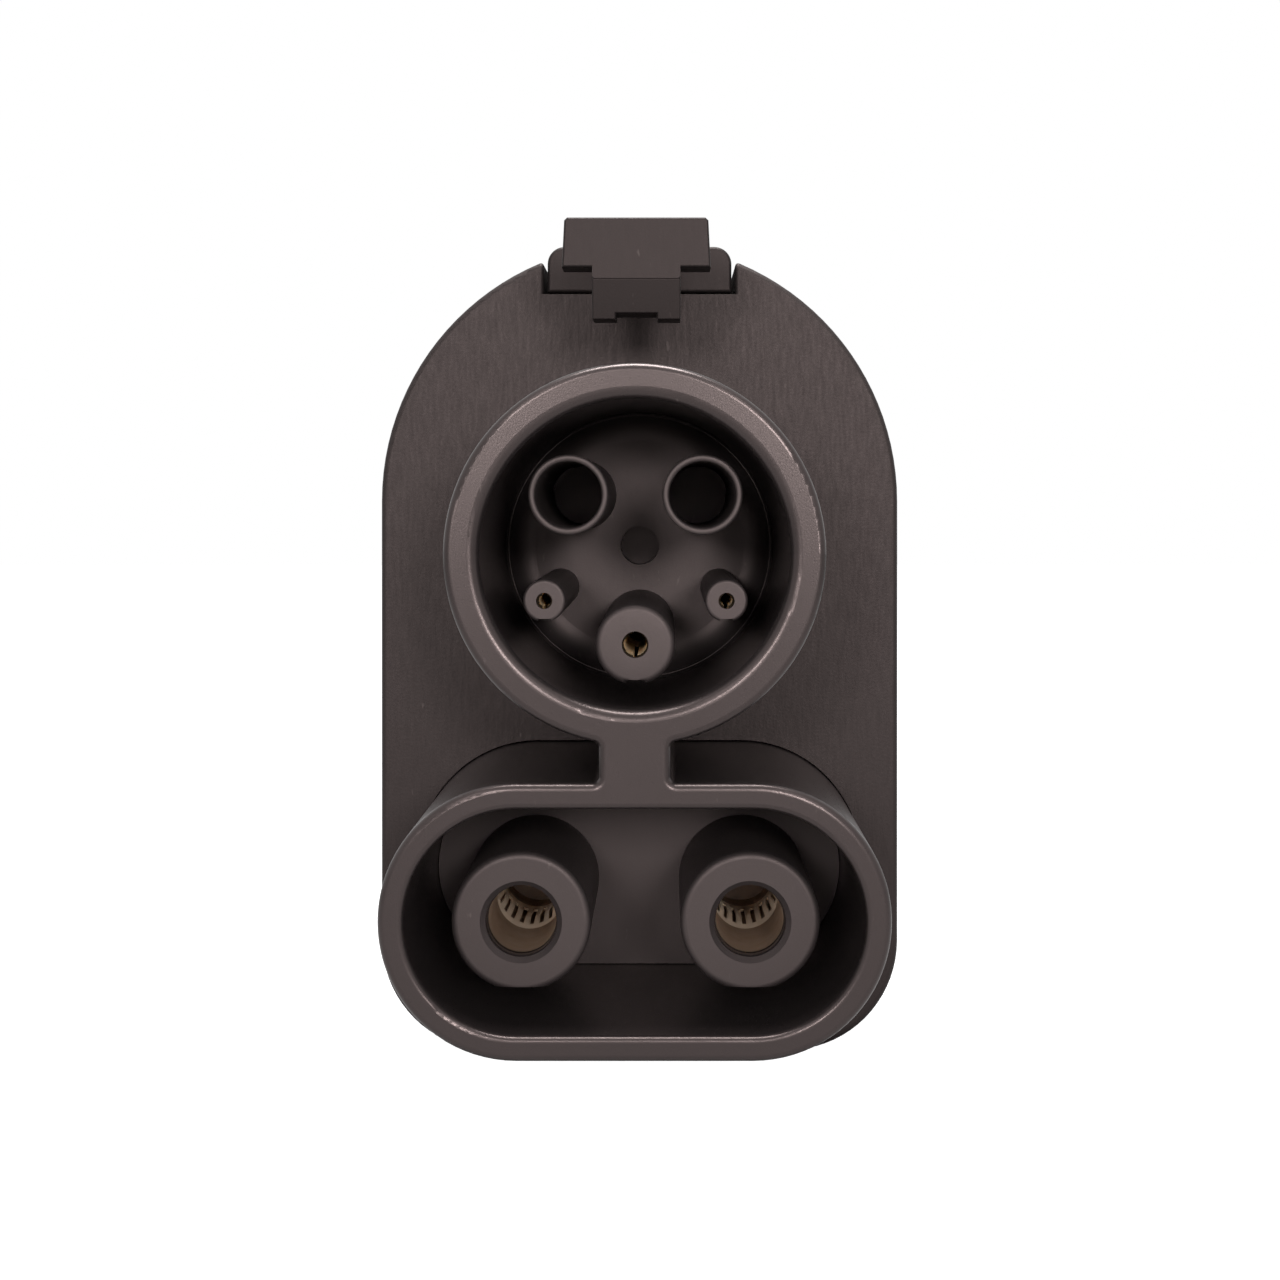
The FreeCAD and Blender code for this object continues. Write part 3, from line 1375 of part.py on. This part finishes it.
def build_latch_spring():
    """Coil spring that pushes the thumb pad up and the hook down."""
    base_z = channel_floor_z - dim.channel_end_drop
    body = new_body("latch_spring", y=spring_y, z=base_z + dim.spring_wire / 2)
    height = lever_bottom_z + dim.spring_pocket_depth - base_z - dim.spring_wire
    sketch = new_sketch(body, "wire_section", "front")
    hexagon(dim.spring_radius, ZERO, dim.spring_wire / 2)(sketch)
    coil = body.newObject("PartDesign::AdditiveHelix", "coil")
    coil.Profile = sketch
    coil.ReferenceAxis = (sketch, ["V_Axis"])
    coil.Mode = "height-turns-angle"
    bind(coil, "Height", height)
    bind(coil, "Turns", dim.spring_turns)
    coil.Angle = 0
    return body


def build_all():
    """Every sub-part of the adapter, one body each."""
    board_tail_y = rim_y + board_back_depth + dim.stake_proud
    pilot_x = dim.pilot_spacing / 2
    signal_x = dim.signal_pin_spacing / 2
    earth_front_y = earth_bar_front_y - dim.earth_bar_thickness / 2
    bodies = [
        build_front_casing(),
        build_rear_casing(),
        build_casing_seal(),
        build_screws("casing_screws", CASING_SCREWS,
                     rim_y + taper_start_depth + dim.casing_screw_seat,
                     dim.casing_screw_length),
        build_plug_shroud(),
        build_shroud_seal(),
        build_ac_insert(),
        build_dc_insert(),
        build_retainer_plate(),
        build_screws("retainer_screws", RETAINER_SCREWS, rim_y + retainer_back_depth,
                     dim.retainer_screw_length),
        build_signal_board(),
        build_earth_bar(),
        build_rear_inlet(),
        build_latch_lever(),
        build_latch_pin(),
        build_latch_spring(),
        build_small_socket("earth_socket", ZERO, earth_z, dim.earth_recess,
                           dim.earth_contact_outer / 2, dim.earth_contact_bore / 2,
                           dim.earth_tail / 2,
                           earth_front_y + dim.earth_bar_thickness + dim.rivet_proud,
                           ((dim.earth_contact_outer / 2, rim_y + insert_depth),
                            (dim.earth_contact_outer / 2, earth_front_y))),
        build_small_pin("earth_pin", ZERO, earth_pin_z, dim.earth_pin / 2, dim.earth_tail / 2,
                        pin_flange_y - dim.earth_bar_thickness - dim.rivet_proud,
                        dim.earth_pin_end),
    ]
    for name, side in SIDES:
        bodies += [
            build_dc_socket(name, side),
            build_louvre_band(name, side),
            build_busbar(name, side),
            build_power_pin(name, side),
            build_pin_tip(name, side),
        ]
    for label, side in (("pilot", -1), ("proximity", 1)):
        bodies += [
            build_small_socket(f"{label}_socket", side * pilot_x, pilot_z, dim.pilot_recess,
                               dim.pilot_contact_outer / 2, dim.pilot_contact_bore / 2,
                               dim.solder_tail / 2, board_tail_y),
            build_lead(f"{label}_lead", side),
            build_small_pin(f"{label}_pin", side * signal_x, signal_z, dim.signal_pin / 2,
                            dim.lead_width / 2, pin_flange_y - dim.signal_tail,
                            dim.signal_pin_end),
        ]
    return bodies


def export(bodies):
    """Check every object and write each sub-part to its own file."""
    for item in doc.Objects:
        if set(item.State) & {"Invalid", "Error"}:
            raise RuntimeError(f"{item.Label} failed: {item.State}")
    for body in bodies:
        if body.Shape.isNull() or not body.Shape.isValid():
            raise RuntimeError(f"{body.Label} has no valid shape")
    os.makedirs("parts", exist_ok=True)
    for body in bodies:
        body.Shape.exportStep(f"parts/{body.Label}.step")
        box = body.Shape.BoundBox
        print(f"{body.Label}: {len(body.Shape.Solids)} solid, {body.Shape.Volume:.0f} mm3, "
              f"x {box.XMin:.1f} {box.XMax:.1f} y {box.YMin:.1f} {box.YMax:.1f} "
              f"z {box.ZMin:.1f} {box.ZMax:.1f}")


adapter = build_all()
doc.recompute()
export(adapter)
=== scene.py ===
"""The charging adapter dressed for a close studio view of its plug face.

The CAD model brings the housing, the contacts and the latch. This script gives each solid its
material, adds three small forms that the solids lack, and sets up the camera and the studio.
"""
import json
import math

import bmesh
import bpy
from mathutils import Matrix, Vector


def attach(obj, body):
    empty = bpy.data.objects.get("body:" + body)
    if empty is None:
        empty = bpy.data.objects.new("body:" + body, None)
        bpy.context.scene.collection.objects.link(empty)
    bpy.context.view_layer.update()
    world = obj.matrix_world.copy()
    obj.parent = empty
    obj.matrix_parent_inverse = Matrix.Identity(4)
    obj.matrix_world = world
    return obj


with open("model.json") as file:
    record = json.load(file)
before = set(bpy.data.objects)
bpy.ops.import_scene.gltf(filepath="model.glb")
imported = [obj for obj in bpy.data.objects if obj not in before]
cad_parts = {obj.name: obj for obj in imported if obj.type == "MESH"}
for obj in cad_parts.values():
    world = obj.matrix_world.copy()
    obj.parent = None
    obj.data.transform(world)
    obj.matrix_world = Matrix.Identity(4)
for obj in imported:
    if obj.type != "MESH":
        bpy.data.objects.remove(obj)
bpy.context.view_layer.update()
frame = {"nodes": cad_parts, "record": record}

MM = 0.001

# Sockets of a mix node, by number: its plain numbers and its colours
NUMBER_A, NUMBER_B, MIXED_NUMBER = 2, 3, 0
COLOUR_A, COLOUR_B, MIXED_COLOUR = 6, 7, 2

# Marks on moulded plastic. Flow marks are about two centimetres wide. The streaks of wiping are
# finer in truth, and are drawn half a millimetre wide so that they show. Streaks and scuffs lean
# a little and are drawn out along their length. The scuffs lie where a noise texture is at its
# highest, and nearly all of such a texture is between the two levels of relief.
FLOW_WIDTH = 18 * MM
STREAK_WIDTH, STREAK_LEAN, STREAK_SQUEEZE = 0.5 * MM, math.radians(14), 0.16
SCUFF_WIDTH, SCUFF_LEAN, SCUFF_SQUEEZE = 1.1 * MM, math.radians(-20), 0.4
SCUFF_START, SCUFF_FULL, SCUFF_COVER = 0.72, 0.8, 0.5
SCUFF_COLOUR = "#4a4341"
RELIEF_LOW, RELIEF_HIGH = 0.3, 0.7
WHITE_SHEEN = "#ffffff"
WARM_SHEEN = "#ffe6e2"

# Marks on plated metal: clouds of tarnish; a duller cut face colour on faces square to the
# axis, which on the gold contacts is a nearly black painted shade in their mouths; and a painted
# shade on the rim that fades between these depths, in mm, behind a contact's mouth. A mouth that
# lies far in front of the adapter leaves a metal without that rim.
TARNISH_WIDTH = 2.5 * MM
# Where faces count as square to the axis; on gold their nearly black colour is painted shade
SQUARE_FACE_START, SQUARE_FACE_FULL = 0.3, 0.6
# Depths and colour of the painted shade on the rim behind a contact's mouth
RIM_SHADE_END, RIM_SHADE_START = 0.9, 0.4
RIM_SHADE_COLOUR = "#2a2320"
POLISHED_SHARE, DULLED_SHARE = 0.8, 1.3
NO_MOUTH = -100.0


def linear(hex_colour):
    """Turn an sRGB hex colour into the linear values that a shader takes."""
    channels = [int(hex_colour[at:at + 2], 16) / 255 for at in (1, 3, 5)]
    curve = [c / 12.92 if c <= 0.04045 else ((c + 0.055) / 1.055) ** 2.4 for c in channels]
    return (*curve, 1.0)


def add_node(tree, kind, inputs, **settings):
    """Add a shader node with its settings; an input is a value or the socket that feeds it."""
    item = tree.nodes.new(kind)
    for name, value in settings.items():
        setattr(item, name, value)
    for key, value in inputs.items():
        if isinstance(value, bpy.types.NodeSocket):
            tree.links.new(value, item.inputs[key])
        else:
            item.inputs[key].default_value = value
    return item


def new_material(name):
    """An empty node material, its node tree and its object coordinates, in metres."""
    material = bpy.data.materials.new(name)
    material.use_nodes = True
    tree = material.node_tree
    tree.nodes.clear()
    place = add_node(tree, "ShaderNodeTexCoord", {}).outputs["Object"]
    return material, tree, place


def finish_material(tree, surface):
    """Feed the finished shader to the material's output."""
    add_node(tree, "ShaderNodeOutputMaterial", {"Surface": surface.outputs[0]})


def moulded_plastic(name, dark, pale, grain, depth, roughness, spread, ior=1.5, streaks=0.0,
                    sheen=WHITE_SHEEN):
    """Injection moulded plastic: spark eroded grain, faint flow marks and handling wear.

    The grain breaks the gloss into a soft sheen; flow marks shift the tone over centimetres.
    Streaks are the fine upright marks of polishing and wiping, and small scuffs catch the light.
    """
    material, tree, place = new_material(name)
    flow = add_node(tree, "ShaderNodeTexNoise",
                    {"Vector": place, "Scale": 1 / FLOW_WIDTH, "Detail": 3.0, "Roughness": 0.6})
    tone = add_node(tree, "ShaderNodeMix",
                    {"Factor": flow.outputs["Fac"], COLOUR_A: linear(dark),
                     COLOUR_B: linear(pale)}, data_type="RGBA")
    pits = add_node(tree, "ShaderNodeTexNoise",
                    {"Vector": place, "Scale": 1 / grain, "Detail": 2.0, "Roughness": 0.5})
    upright = add_node(tree, "ShaderNodeMapping",
                       {"Vector": place, "Rotation": (0, STREAK_LEAN, 0),
                        "Scale": (1.0, 1.0, STREAK_SQUEEZE)})
    wiped = add_node(tree, "ShaderNodeTexNoise",
                     {"Vector": upright.outputs[0], "Scale": 1 / STREAK_WIDTH, "Detail": 3.0})
    relief = add_node(tree, "ShaderNodeMix",
                      {"Factor": streaks, NUMBER_A: pits.outputs["Fac"],
                       NUMBER_B: wiped.outputs["Fac"]}, data_type="FLOAT")
    bump = add_node(tree, "ShaderNodeBump",
                    {"Height": relief.outputs[MIXED_NUMBER], "Distance": depth, "Strength": 1.0})
    scuff_and_rim_shade = add_node(tree, "ShaderNodeMapping",
                      {"Vector": place, "Rotation": (0, SCUFF_LEAN, 0),
                       "Scale": (1.0, 1.0, SCUFF_SQUEEZE)})
    marks = add_node(tree, "ShaderNodeTexNoise",
                     {"Vector": scuff_and_rim_shade.outputs[0], "Scale": 1 / SCUFF_WIDTH, "Detail": 2.0})
    scuffs = add_node(tree, "ShaderNodeMapRange",
                      {"Value": marks.outputs["Fac"], "From Min": SCUFF_START,
                       "From Max": SCUFF_FULL, "To Min": 0.0, "To Max": SCUFF_COVER})
    scuffed_and_rim_shaded = add_node(tree, "ShaderNodeMix",
                    {"Factor": scuffs.outputs[0], COLOUR_A: tone.outputs[MIXED_COLOUR],
                     COLOUR_B: linear(SCUFF_COLOUR)}, data_type="RGBA")
    gloss = add_node(tree, "ShaderNodeMapRange",
                     {"Value": relief.outputs[MIXED_NUMBER], "From Min": RELIEF_LOW,
                      "From Max": RELIEF_HIGH, "To Min": roughness - spread,
                      "To Max": roughness + spread})
    surface = add_node(tree, "ShaderNodeBsdfPrincipled",
                       {"Base Color": scuffed_and_rim_shaded.outputs[MIXED_COLOUR], "Roughness": gloss.outputs[0],
                        "Normal": bump.outputs[0], "IOR": ior,
                        "Specular Tint": linear(sheen)})
    finish_material(tree, surface)
    return material


def turned_metal(name, bright, stained, cut_face, roughness, feed, depth, mouth=NO_MOUTH):
    """Turned and plated metal: fine tool rings across the axis and a slight uneven tarnish.

    Faces square to the axis take the cut face colour, duller and darker; on the gold contacts
    it is nearly black, a painted shade in their mouths. The edge round a contact's mouth, at the
    given place in mm along the axis, is darkened as a painted shade. The feed is what the tool
    moved in one turn, and rings that fine hardly show, so the wave texture draws about one ring
    for two turns.
    """
    material, tree, place = new_material(name)
    cloud = add_node(tree, "ShaderNodeTexNoise",
                     {"Vector": place, "Scale": 1 / TARNISH_WIDTH, "Detail": 4.0})
    tone = add_node(tree, "ShaderNodeMix",
                    {"Factor": cloud.outputs["Fac"], COLOUR_A: linear(bright),
                     COLOUR_B: linear(stained)}, data_type="RGBA")
    # Faces square to the axis take the cut face colour; on gold it is a nearly black painted
    # shade
    facing = add_node(tree, "ShaderNodeTexCoord", {}).outputs["Normal"]
    along = add_node(tree, "ShaderNodeSeparateXYZ", {"Vector": facing})
    square_on = add_node(tree, "ShaderNodeMath", {0: along.outputs["Y"]}, operation="ABSOLUTE")
    square_face_share = add_node(tree, "ShaderNodeMapRange",
                    {"Value": square_on.outputs[0], "From Min": SQUARE_FACE_START,
                     "From Max": SQUARE_FACE_FULL, "To Min": 0.0, "To Max": 1.0})
    plating = add_node(tree, "ShaderNodeMix",
                       {"Factor": square_face_share.outputs[0], COLOUR_A: tone.outputs[MIXED_COLOUR],
                        COLOUR_B: linear(cut_face)}, data_type="RGBA")
    reach = add_node(tree, "ShaderNodeSeparateXYZ", {"Vector": place})
    # Painted shade: the rim just behind a contact's mouth is darkened
    scuff_and_rim_shade = add_node(tree, "ShaderNodeMapRange",
                      {"Value": reach.outputs["Y"], "From Min": (mouth + RIM_SHADE_END) * MM,
                       "From Max": (mouth + RIM_SHADE_START) * MM, "To Min": 0.0, "To Max": 1.0})
    scuffed_and_rim_shaded = add_node(tree, "ShaderNodeMix",
                    {"Factor": scuff_and_rim_shade.outputs[0], COLOUR_A: plating.outputs[MIXED_COLOUR],
                     COLOUR_B: linear(RIM_SHADE_COLOUR)}, data_type="RGBA")
    rings = add_node(tree, "ShaderNodeTexWave",
                     {"Vector": place, "Scale": 1 / (feed * 2 * math.pi), "Distortion": 0.6},
                     bands_direction="Y")
    bump = add_node(tree, "ShaderNodeBump",
                    {"Height": rings.outputs["Fac"], "Distance": depth, "Strength": 1.0})
    gloss = add_node(tree, "ShaderNodeMapRange",
                     {"Value": cloud.outputs["Fac"], "To Min": roughness * POLISHED_SHARE,
                      "To Max": roughness * DULLED_SHARE})
    surface = add_node(tree, "ShaderNodeBsdfPrincipled",
                       {"Base Color": scuffed_and_rim_shaded.outputs[MIXED_COLOUR], "Metallic": 1.0,
                        "Roughness": gloss.outputs[0], "Normal": bump.outputs[0]})
    finish_material(tree, surface)
    return material


MATERIALS = {
    # Moulded ABS from a spark eroded tool: dull, grained, and streaked by wiping. Its real grit
    # is finer and is drawn a third of a millimetre wide so that it shows. Its IOR is lower than
    # that of plain ABS, because the photograph shows little gloss on it.
    "grained_abs": moulded_plastic(
        "grained_abs", "#0e0c0c", "#141111", grain=0.35 * MM, depth=0.05 * MM, roughness=0.55,
        spread=0.08, ior=1.4, streaks=0.6, sheen=WARM_SHEEN),
    # Glass filled nylon from a finely finished tool: a satin gloss that draws every rim
    "satin_nylon": moulded_plastic(
        "satin_nylon", "#191616", "#1f1b1b", grain=0.2 * MM, depth=0.01 * MM, roughness=0.3,
        spread=0.03, ior=1.5, streaks=0.12, sheen=WARM_SHEEN),
    # The same nylon from a plainer tool: duller, with only a soft light on floors and sleeves
    "insert_nylon": moulded_plastic(
        "insert_nylon", "#1b1818", "#211d1d", grain=0.2 * MM, depth=0.01 * MM, roughness=0.52,
        spread=0.05, ior=1.5, streaks=0.2, sheen=WARM_SHEEN),
    # Black nylon worn matt by thumbs: the darkest plastic, with an IOR lowered for its weak gloss
    "latch_nylon": moulded_plastic(
        "latch_nylon", "#0b0909", "#0f0d0d", grain=0.2 * MM, depth=0.012 * MM, roughness=0.5,
        spread=0.05, ior=1.32, streaks=0.3, sheen=WARM_SHEEN),
    # Moulded rubber: matt, with hardly a highlight
    "seal_rubber": moulded_plastic(
        "seal_rubber", "#151314", "#1a1818", grain=0.3 * MM, depth=0.02 * MM, roughness=0.75,
        spread=0.05),
    # Turned copper under dull silver plating: tan bores with cloudy tarnish, and a painted shade
    # on the rim of each contact's mouth
    "silver_plate": turned_metal(
        "silver_plate", "#b49c88", "#947e6c", "#85756a", roughness=0.55, feed=0.12 * MM,
        depth=0.0004 * MM, mouth=-67.25),
    # Stamped bands with fresher plating: pale and soft, lighter than the bores round them
    "band_plate": turned_metal(
        "band_plate", "#e6d6c4", "#d0bea9", "#c9b49c", roughness=0.7, feed=0.3 * MM,
        depth=0.0004 * MM),
    # Turned brass under gold plating: pale yellow bores; the nearly black cut ends are painted
    # shade in the contacts' mouths
    "gold_plate": turned_metal(
        "gold_plate", "#ffecd0", "#dcc094", "#1d1710", roughness=0.55, feed=0.1 * MM,
        depth=0.0003 * MM),
    # Bare copper bar: reddish and half bright
    "bar_copper": turned_metal(
        "bar_copper", "#d98a63", "#b56a48", "#c07a55", roughness=0.35, feed=0.5 * MM,
        depth=0.002 * MM),
    # Steel under a thin coat of zinc: grey, half bright screws, pin and spring
    "zinc_steel": turned_metal(
        "zinc_steel", "#b9b9bc", "#8f9094", "#9a9a9e", roughness=0.35, feed=0.2 * MM,
        depth=0.002 * MM),
    # Glass and epoxy laminate under green lacquer: even and slightly glossy
    "board_laminate": moulded_plastic(
        "board_laminate", "#1c4a2c", "#235734", grain=0.5 * MM, depth=0.01 * MM,
        roughness=0.4, spread=0.03),
    # Extruded PVC of the leads: smooth mid grey with a soft gloss
    "lead_jacket": moulded_plastic(
        "lead_jacket", "#7c7c7c", "#8c8c8c", grain=0.5 * MM, depth=0.01 * MM, roughness=0.45,
        spread=0.03),
}

# The material of each slot in the record
FINISH = {
    "casing_plastic": "grained_abs",
    "shroud_plastic": "satin_nylon",
    "insert_plastic": "insert_nylon",
    "latch_plastic": "latch_nylon",
    "tip_plastic": "insert_nylon",
    "seal_rubber": "seal_rubber",
    "silver_plating": "silver_plate",
    "band_plating": "band_plate",
    "gold_plating": "gold_plate",
    "bar_copper": "bar_copper",
    "screw_steel": "zinc_steel",
    "spring_steel": "zinc_steel",
    "board_laminate": "board_laminate",
    "lead_jacket": "lead_jacket",
}

# The solids keep their shapes and take their materials
for row in frame["record"]["subparts"]:
    mesh = frame["nodes"][row["node"]].data
    mesh.materials.clear()
    mesh.materials.append(MATERIALS[FINISH[row["material_slot"]]])


def piece_from(mesh_name, form, material, body):
    """Turn a bmesh into a piece that rides with one body of the adapter."""
    bmesh.ops.recalc_face_normals(form, faces=form.faces)
    mesh = bpy.data.meshes.new(mesh_name)
    form.to_mesh(mesh)
    form.free()
    piece = bpy.data.objects.new(mesh_name, mesh)
    bpy.context.scene.collection.objects.link(piece)
    mesh.materials.append(MATERIALS[material])
    mesh.polygons.foreach_set("use_smooth", [True] * len(mesh.polygons))
    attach(piece, body)
    return piece


def hook_nose():
    """Upright front of the latch hook, with the small notch in the middle of its tip, in mm.

    Its edges are rounded as a moulding's are, and its flat faces stay flat.
    """
    half_hook, half_notch = 5.33, 2.5
    crease_z, tip_z, notch_z = 100.3, 95.4, 96.15
    front_y, lean, back_y = -65.0, 1.0, -60.5
    edge_width, edge_steps = 0.2, 3
    outline = [(-half_hook, crease_z), (-half_hook, tip_z), (-half_notch, tip_z),
               (-half_notch, notch_z), (half_notch, notch_z), (half_notch, tip_z),
               (half_hook, tip_z), (half_hook, crease_z)]
    form = bmesh.new()
    front = [form.verts.new((x * MM, (front_y + lean * (crease_z - z) / (crease_z - tip_z)) * MM,
                             z * MM)) for x, z in outline]
    back = [form.verts.new((x * MM, back_y * MM, z * MM)) for x, z in outline]
    form.faces.new(front)
    form.faces.new(back)
    for at in range(len(outline)):
        after = (at + 1) % len(outline)
        form.faces.new((front[at], front[after], back[after], back[at]))
    piece = piece_from("hook_nose", form, "latch_nylon", "latch")
    bevel = piece.modifiers.new("soft_edges", "BEVEL")
    bevel.width = edge_width * MM
    bevel.segments = edge_steps
    bevel.limit_method = "ANGLE"
    bevel.harden_normals = True


def quarter_round(centre, radius, start, steps):
    """Points of a quarter circle in the plane of radius and depth, from a start angle up."""
    return [(centre[0] + radius * math.cos(start + math.pi / 2 * step / steps),
             centre[1] + radius * math.sin(start + math.pi / 2 * step / steps))
            for step in range(steps + 1)]


def turned_piece(name, profile, axis_z, groove_half=0.0, groove_floor=0.0):
    """A nylon piece of the housing, turned from a closed profile of radius and depth, in mm.

    A groove of the given half width can run along its foot, down to a floor under the axis.
    """
    turns, sharp_angle = 96, math.radians(40)
    form = bmesh.new()
    rings = []
    for turn in range(turns):
        angle = 2 * math.pi * turn / turns
        ring = []
        for radius, y in profile:
            x, z = radius * math.sin(angle), -radius * math.cos(angle)
            if abs(x) < groove_half and z < -groove_floor:
                z = -groove_floor
            ring.append(form.verts.new((x * MM, y * MM, (axis_z + z) * MM)))
        rings.append(ring)
    for turn, ring in enumerate(rings):
        beside = rings[(turn + 1) % turns]
        for at in range(len(profile)):
            after = (at + 1) % len(profile)
            form.faces.new((ring[at], ring[after], beside[after], beside[at]))
    piece = piece_from(name, form, "insert_nylon", "housing")
    piece.data.set_sharp_from_angle(angle=sharp_angle)


def earth_sleeve_wall():
    """Full round wall of the earth sleeve, with its soft front edge and the keying groove."""
    axis_z, front_y, floor_y = 56.9, -71.52, -40.3
    core_radius, face_radius, wall_radius, edge = 3.0, 2.0, 4.65, 0.75
    profile = [(core_radius, floor_y), (face_radius, front_y)]
    profile += quarter_round((wall_radius - edge, front_y + edge), edge, -math.pi / 2, steps=6)
    profile.append((wall_radius, floor_y))
    turned_piece("earth_sleeve_wall", profile, axis_z, groove_half=1.15, groove_floor=4.1)


def floor_cove():
    """Wide hollow rounding between the floor of the upper ring and its wall."""
    axis_z, wall_radius, cove_radius, lowest_y = 67.5, 17.78, 4.02, -40.28
    centre = (wall_radius - cove_radius, lowest_y - cove_radius)
    profile = quarter_round(centre, cove_radius, 0.0, steps=12)
    profile.append((wall_radius, lowest_y))
    turned_piece("floor_cove", profile, axis_z)


def camera():
    """The photograph's view: close to the rim, a little above and right of the ring's axis."""
    picture, focal_length, shift = 1280, 1626, (-28, -143)
    sensor, nearest = 36.0, 0.01
    data = bpy.data.cameras.new("camera")
    item = bpy.data.objects.new("camera", data)
    bpy.context.scene.collection.objects.link(item)
    item.location = (3.81 * MM, -260 * MM, 74.03 * MM)
    item.rotation_euler = (math.radians(90), 0, 0)
    data.sensor_width = sensor
    data.lens = sensor * focal_length / picture
    data.shift_x = shift[0] / picture
    data.shift_y = shift[1] / picture
    data.clip_start = nearest
    bpy.context.scene.camera = item


def softbox(name, place, aim, size, power):
    """A rectangular studio light that points at a place on the adapter, in metres and watts."""
    data = bpy.data.lights.new(name, "AREA")
    data.shape = "RECTANGLE"
    data.size, data.size_y = size
    data.energy = power
    item = bpy.data.objects.new(name, data)
    bpy.context.scene.collection.objects.link(item)
    item.location = place
    direction = [there - here for here, there in zip(place, aim)]
    item.rotation_euler = Vector(direction).to_track_quat("-Z", "Y").to_euler()


def white_world(strength):
    """Even studio surround, pure white where the camera or a reflection looks straight at it."""
    world = bpy.data.worlds.new("studio")
    bpy.context.scene.world = world
    world.use_nodes = True
    tree = world.node_tree
    tree.nodes.clear()
    path = add_node(tree, "ShaderNodeLightPath", {})
    looked_at = add_node(tree, "ShaderNodeMath",
                         {0: path.outputs["Is Camera Ray"], 1: path.outputs["Is Glossy Ray"]},
                         operation="MAXIMUM")
    seen = add_node(tree, "ShaderNodeMath",
                    {0: looked_at.outputs[0], 1: path.outputs["Is Transmission Ray"]},
                    operation="MAXIMUM")
    level = add_node(tree, "ShaderNodeMapRange",
                     {"Value": seen.outputs[0], "To Min": strength, "To Max": 1.0})
    sky = add_node(tree, "ShaderNodeBackground",
                   {"Color": (1, 1, 1, 1), "Strength": level.outputs[0]})
    add_node(tree, "ShaderNodeOutputWorld", {"Surface": sky.outputs[0]})


def pale_floor():
    """A wide pale tabletop just under the adapter, which takes its shadow.

    A glow that only the camera sees brings it up to the white of the surround.
    """
    half_width, drop, glow_strength, laminate = 1.5, 0.02 * MM, 0.95, "#b6b6b6"
    mesh = bpy.data.meshes.new("tabletop")
    corners = [(-half_width, -half_width, 0), (half_width, -half_width, 0),
               (half_width, half_width, 0), (-half_width, half_width, 0)]
    mesh.from_pydata(corners, [], [(0, 1, 2, 3)])
    item = bpy.data.objects.new("tabletop", mesh)
    bpy.context.scene.collection.objects.link(item)
    item.location.z = -drop
    material, tree, place = new_material("white_laminate")
    path = add_node(tree, "ShaderNodeLightPath", {})
    matt = add_node(tree, "ShaderNodeBsdfDiffuse", {"Color": linear(laminate)})
    glow = add_node(tree, "ShaderNodeEmission",
                    {"Color": (1, 1, 1, 1), "Strength": glow_strength})
    both = add_node(tree, "ShaderNodeAddShader", {0: matt.outputs[0], 1: glow.outputs[0]})
    mix = add_node(tree, "ShaderNodeMixShader",
                   {0: path.outputs["Is Camera Ray"], 1: matt.outputs[0], 2: both.outputs[0]})
    finish_material(tree, mix)
    mesh.materials.append(material)


hook_nose()
earth_sleeve_wall()
floor_cove()
camera()
white_world(strength=0.3)
pale_floor()

# Two small lights beside the camera reach into the ring, and the others draw the outer edges
ring_aim, upper_aim, overhead_aim = (0, -0.05, 0.07), (0, -0.07, 0.06), (0, -0.05, 0.06)
softbox("front_left", (-0.13, -0.52, 0.17), ring_aim, size=(0.1, 0.1), power=1.1)
softbox("front_right", (0.13, -0.52, 0.17), ring_aim, size=(0.1, 0.1), power=1.5)
softbox("upper_left", (-0.27, -0.49, 0.43), upper_aim, size=(0.18, 0.18), power=0.3)
softbox("upper_right", (0.27, -0.49, 0.43), upper_aim, size=(0.18, 0.18), power=0.3)
softbox("overhead", (0, -0.07, 0.62), overhead_aim, size=(0.3, 0.2), power=6.5)
bpy.context.scene.view_settings.view_transform = "Standard"
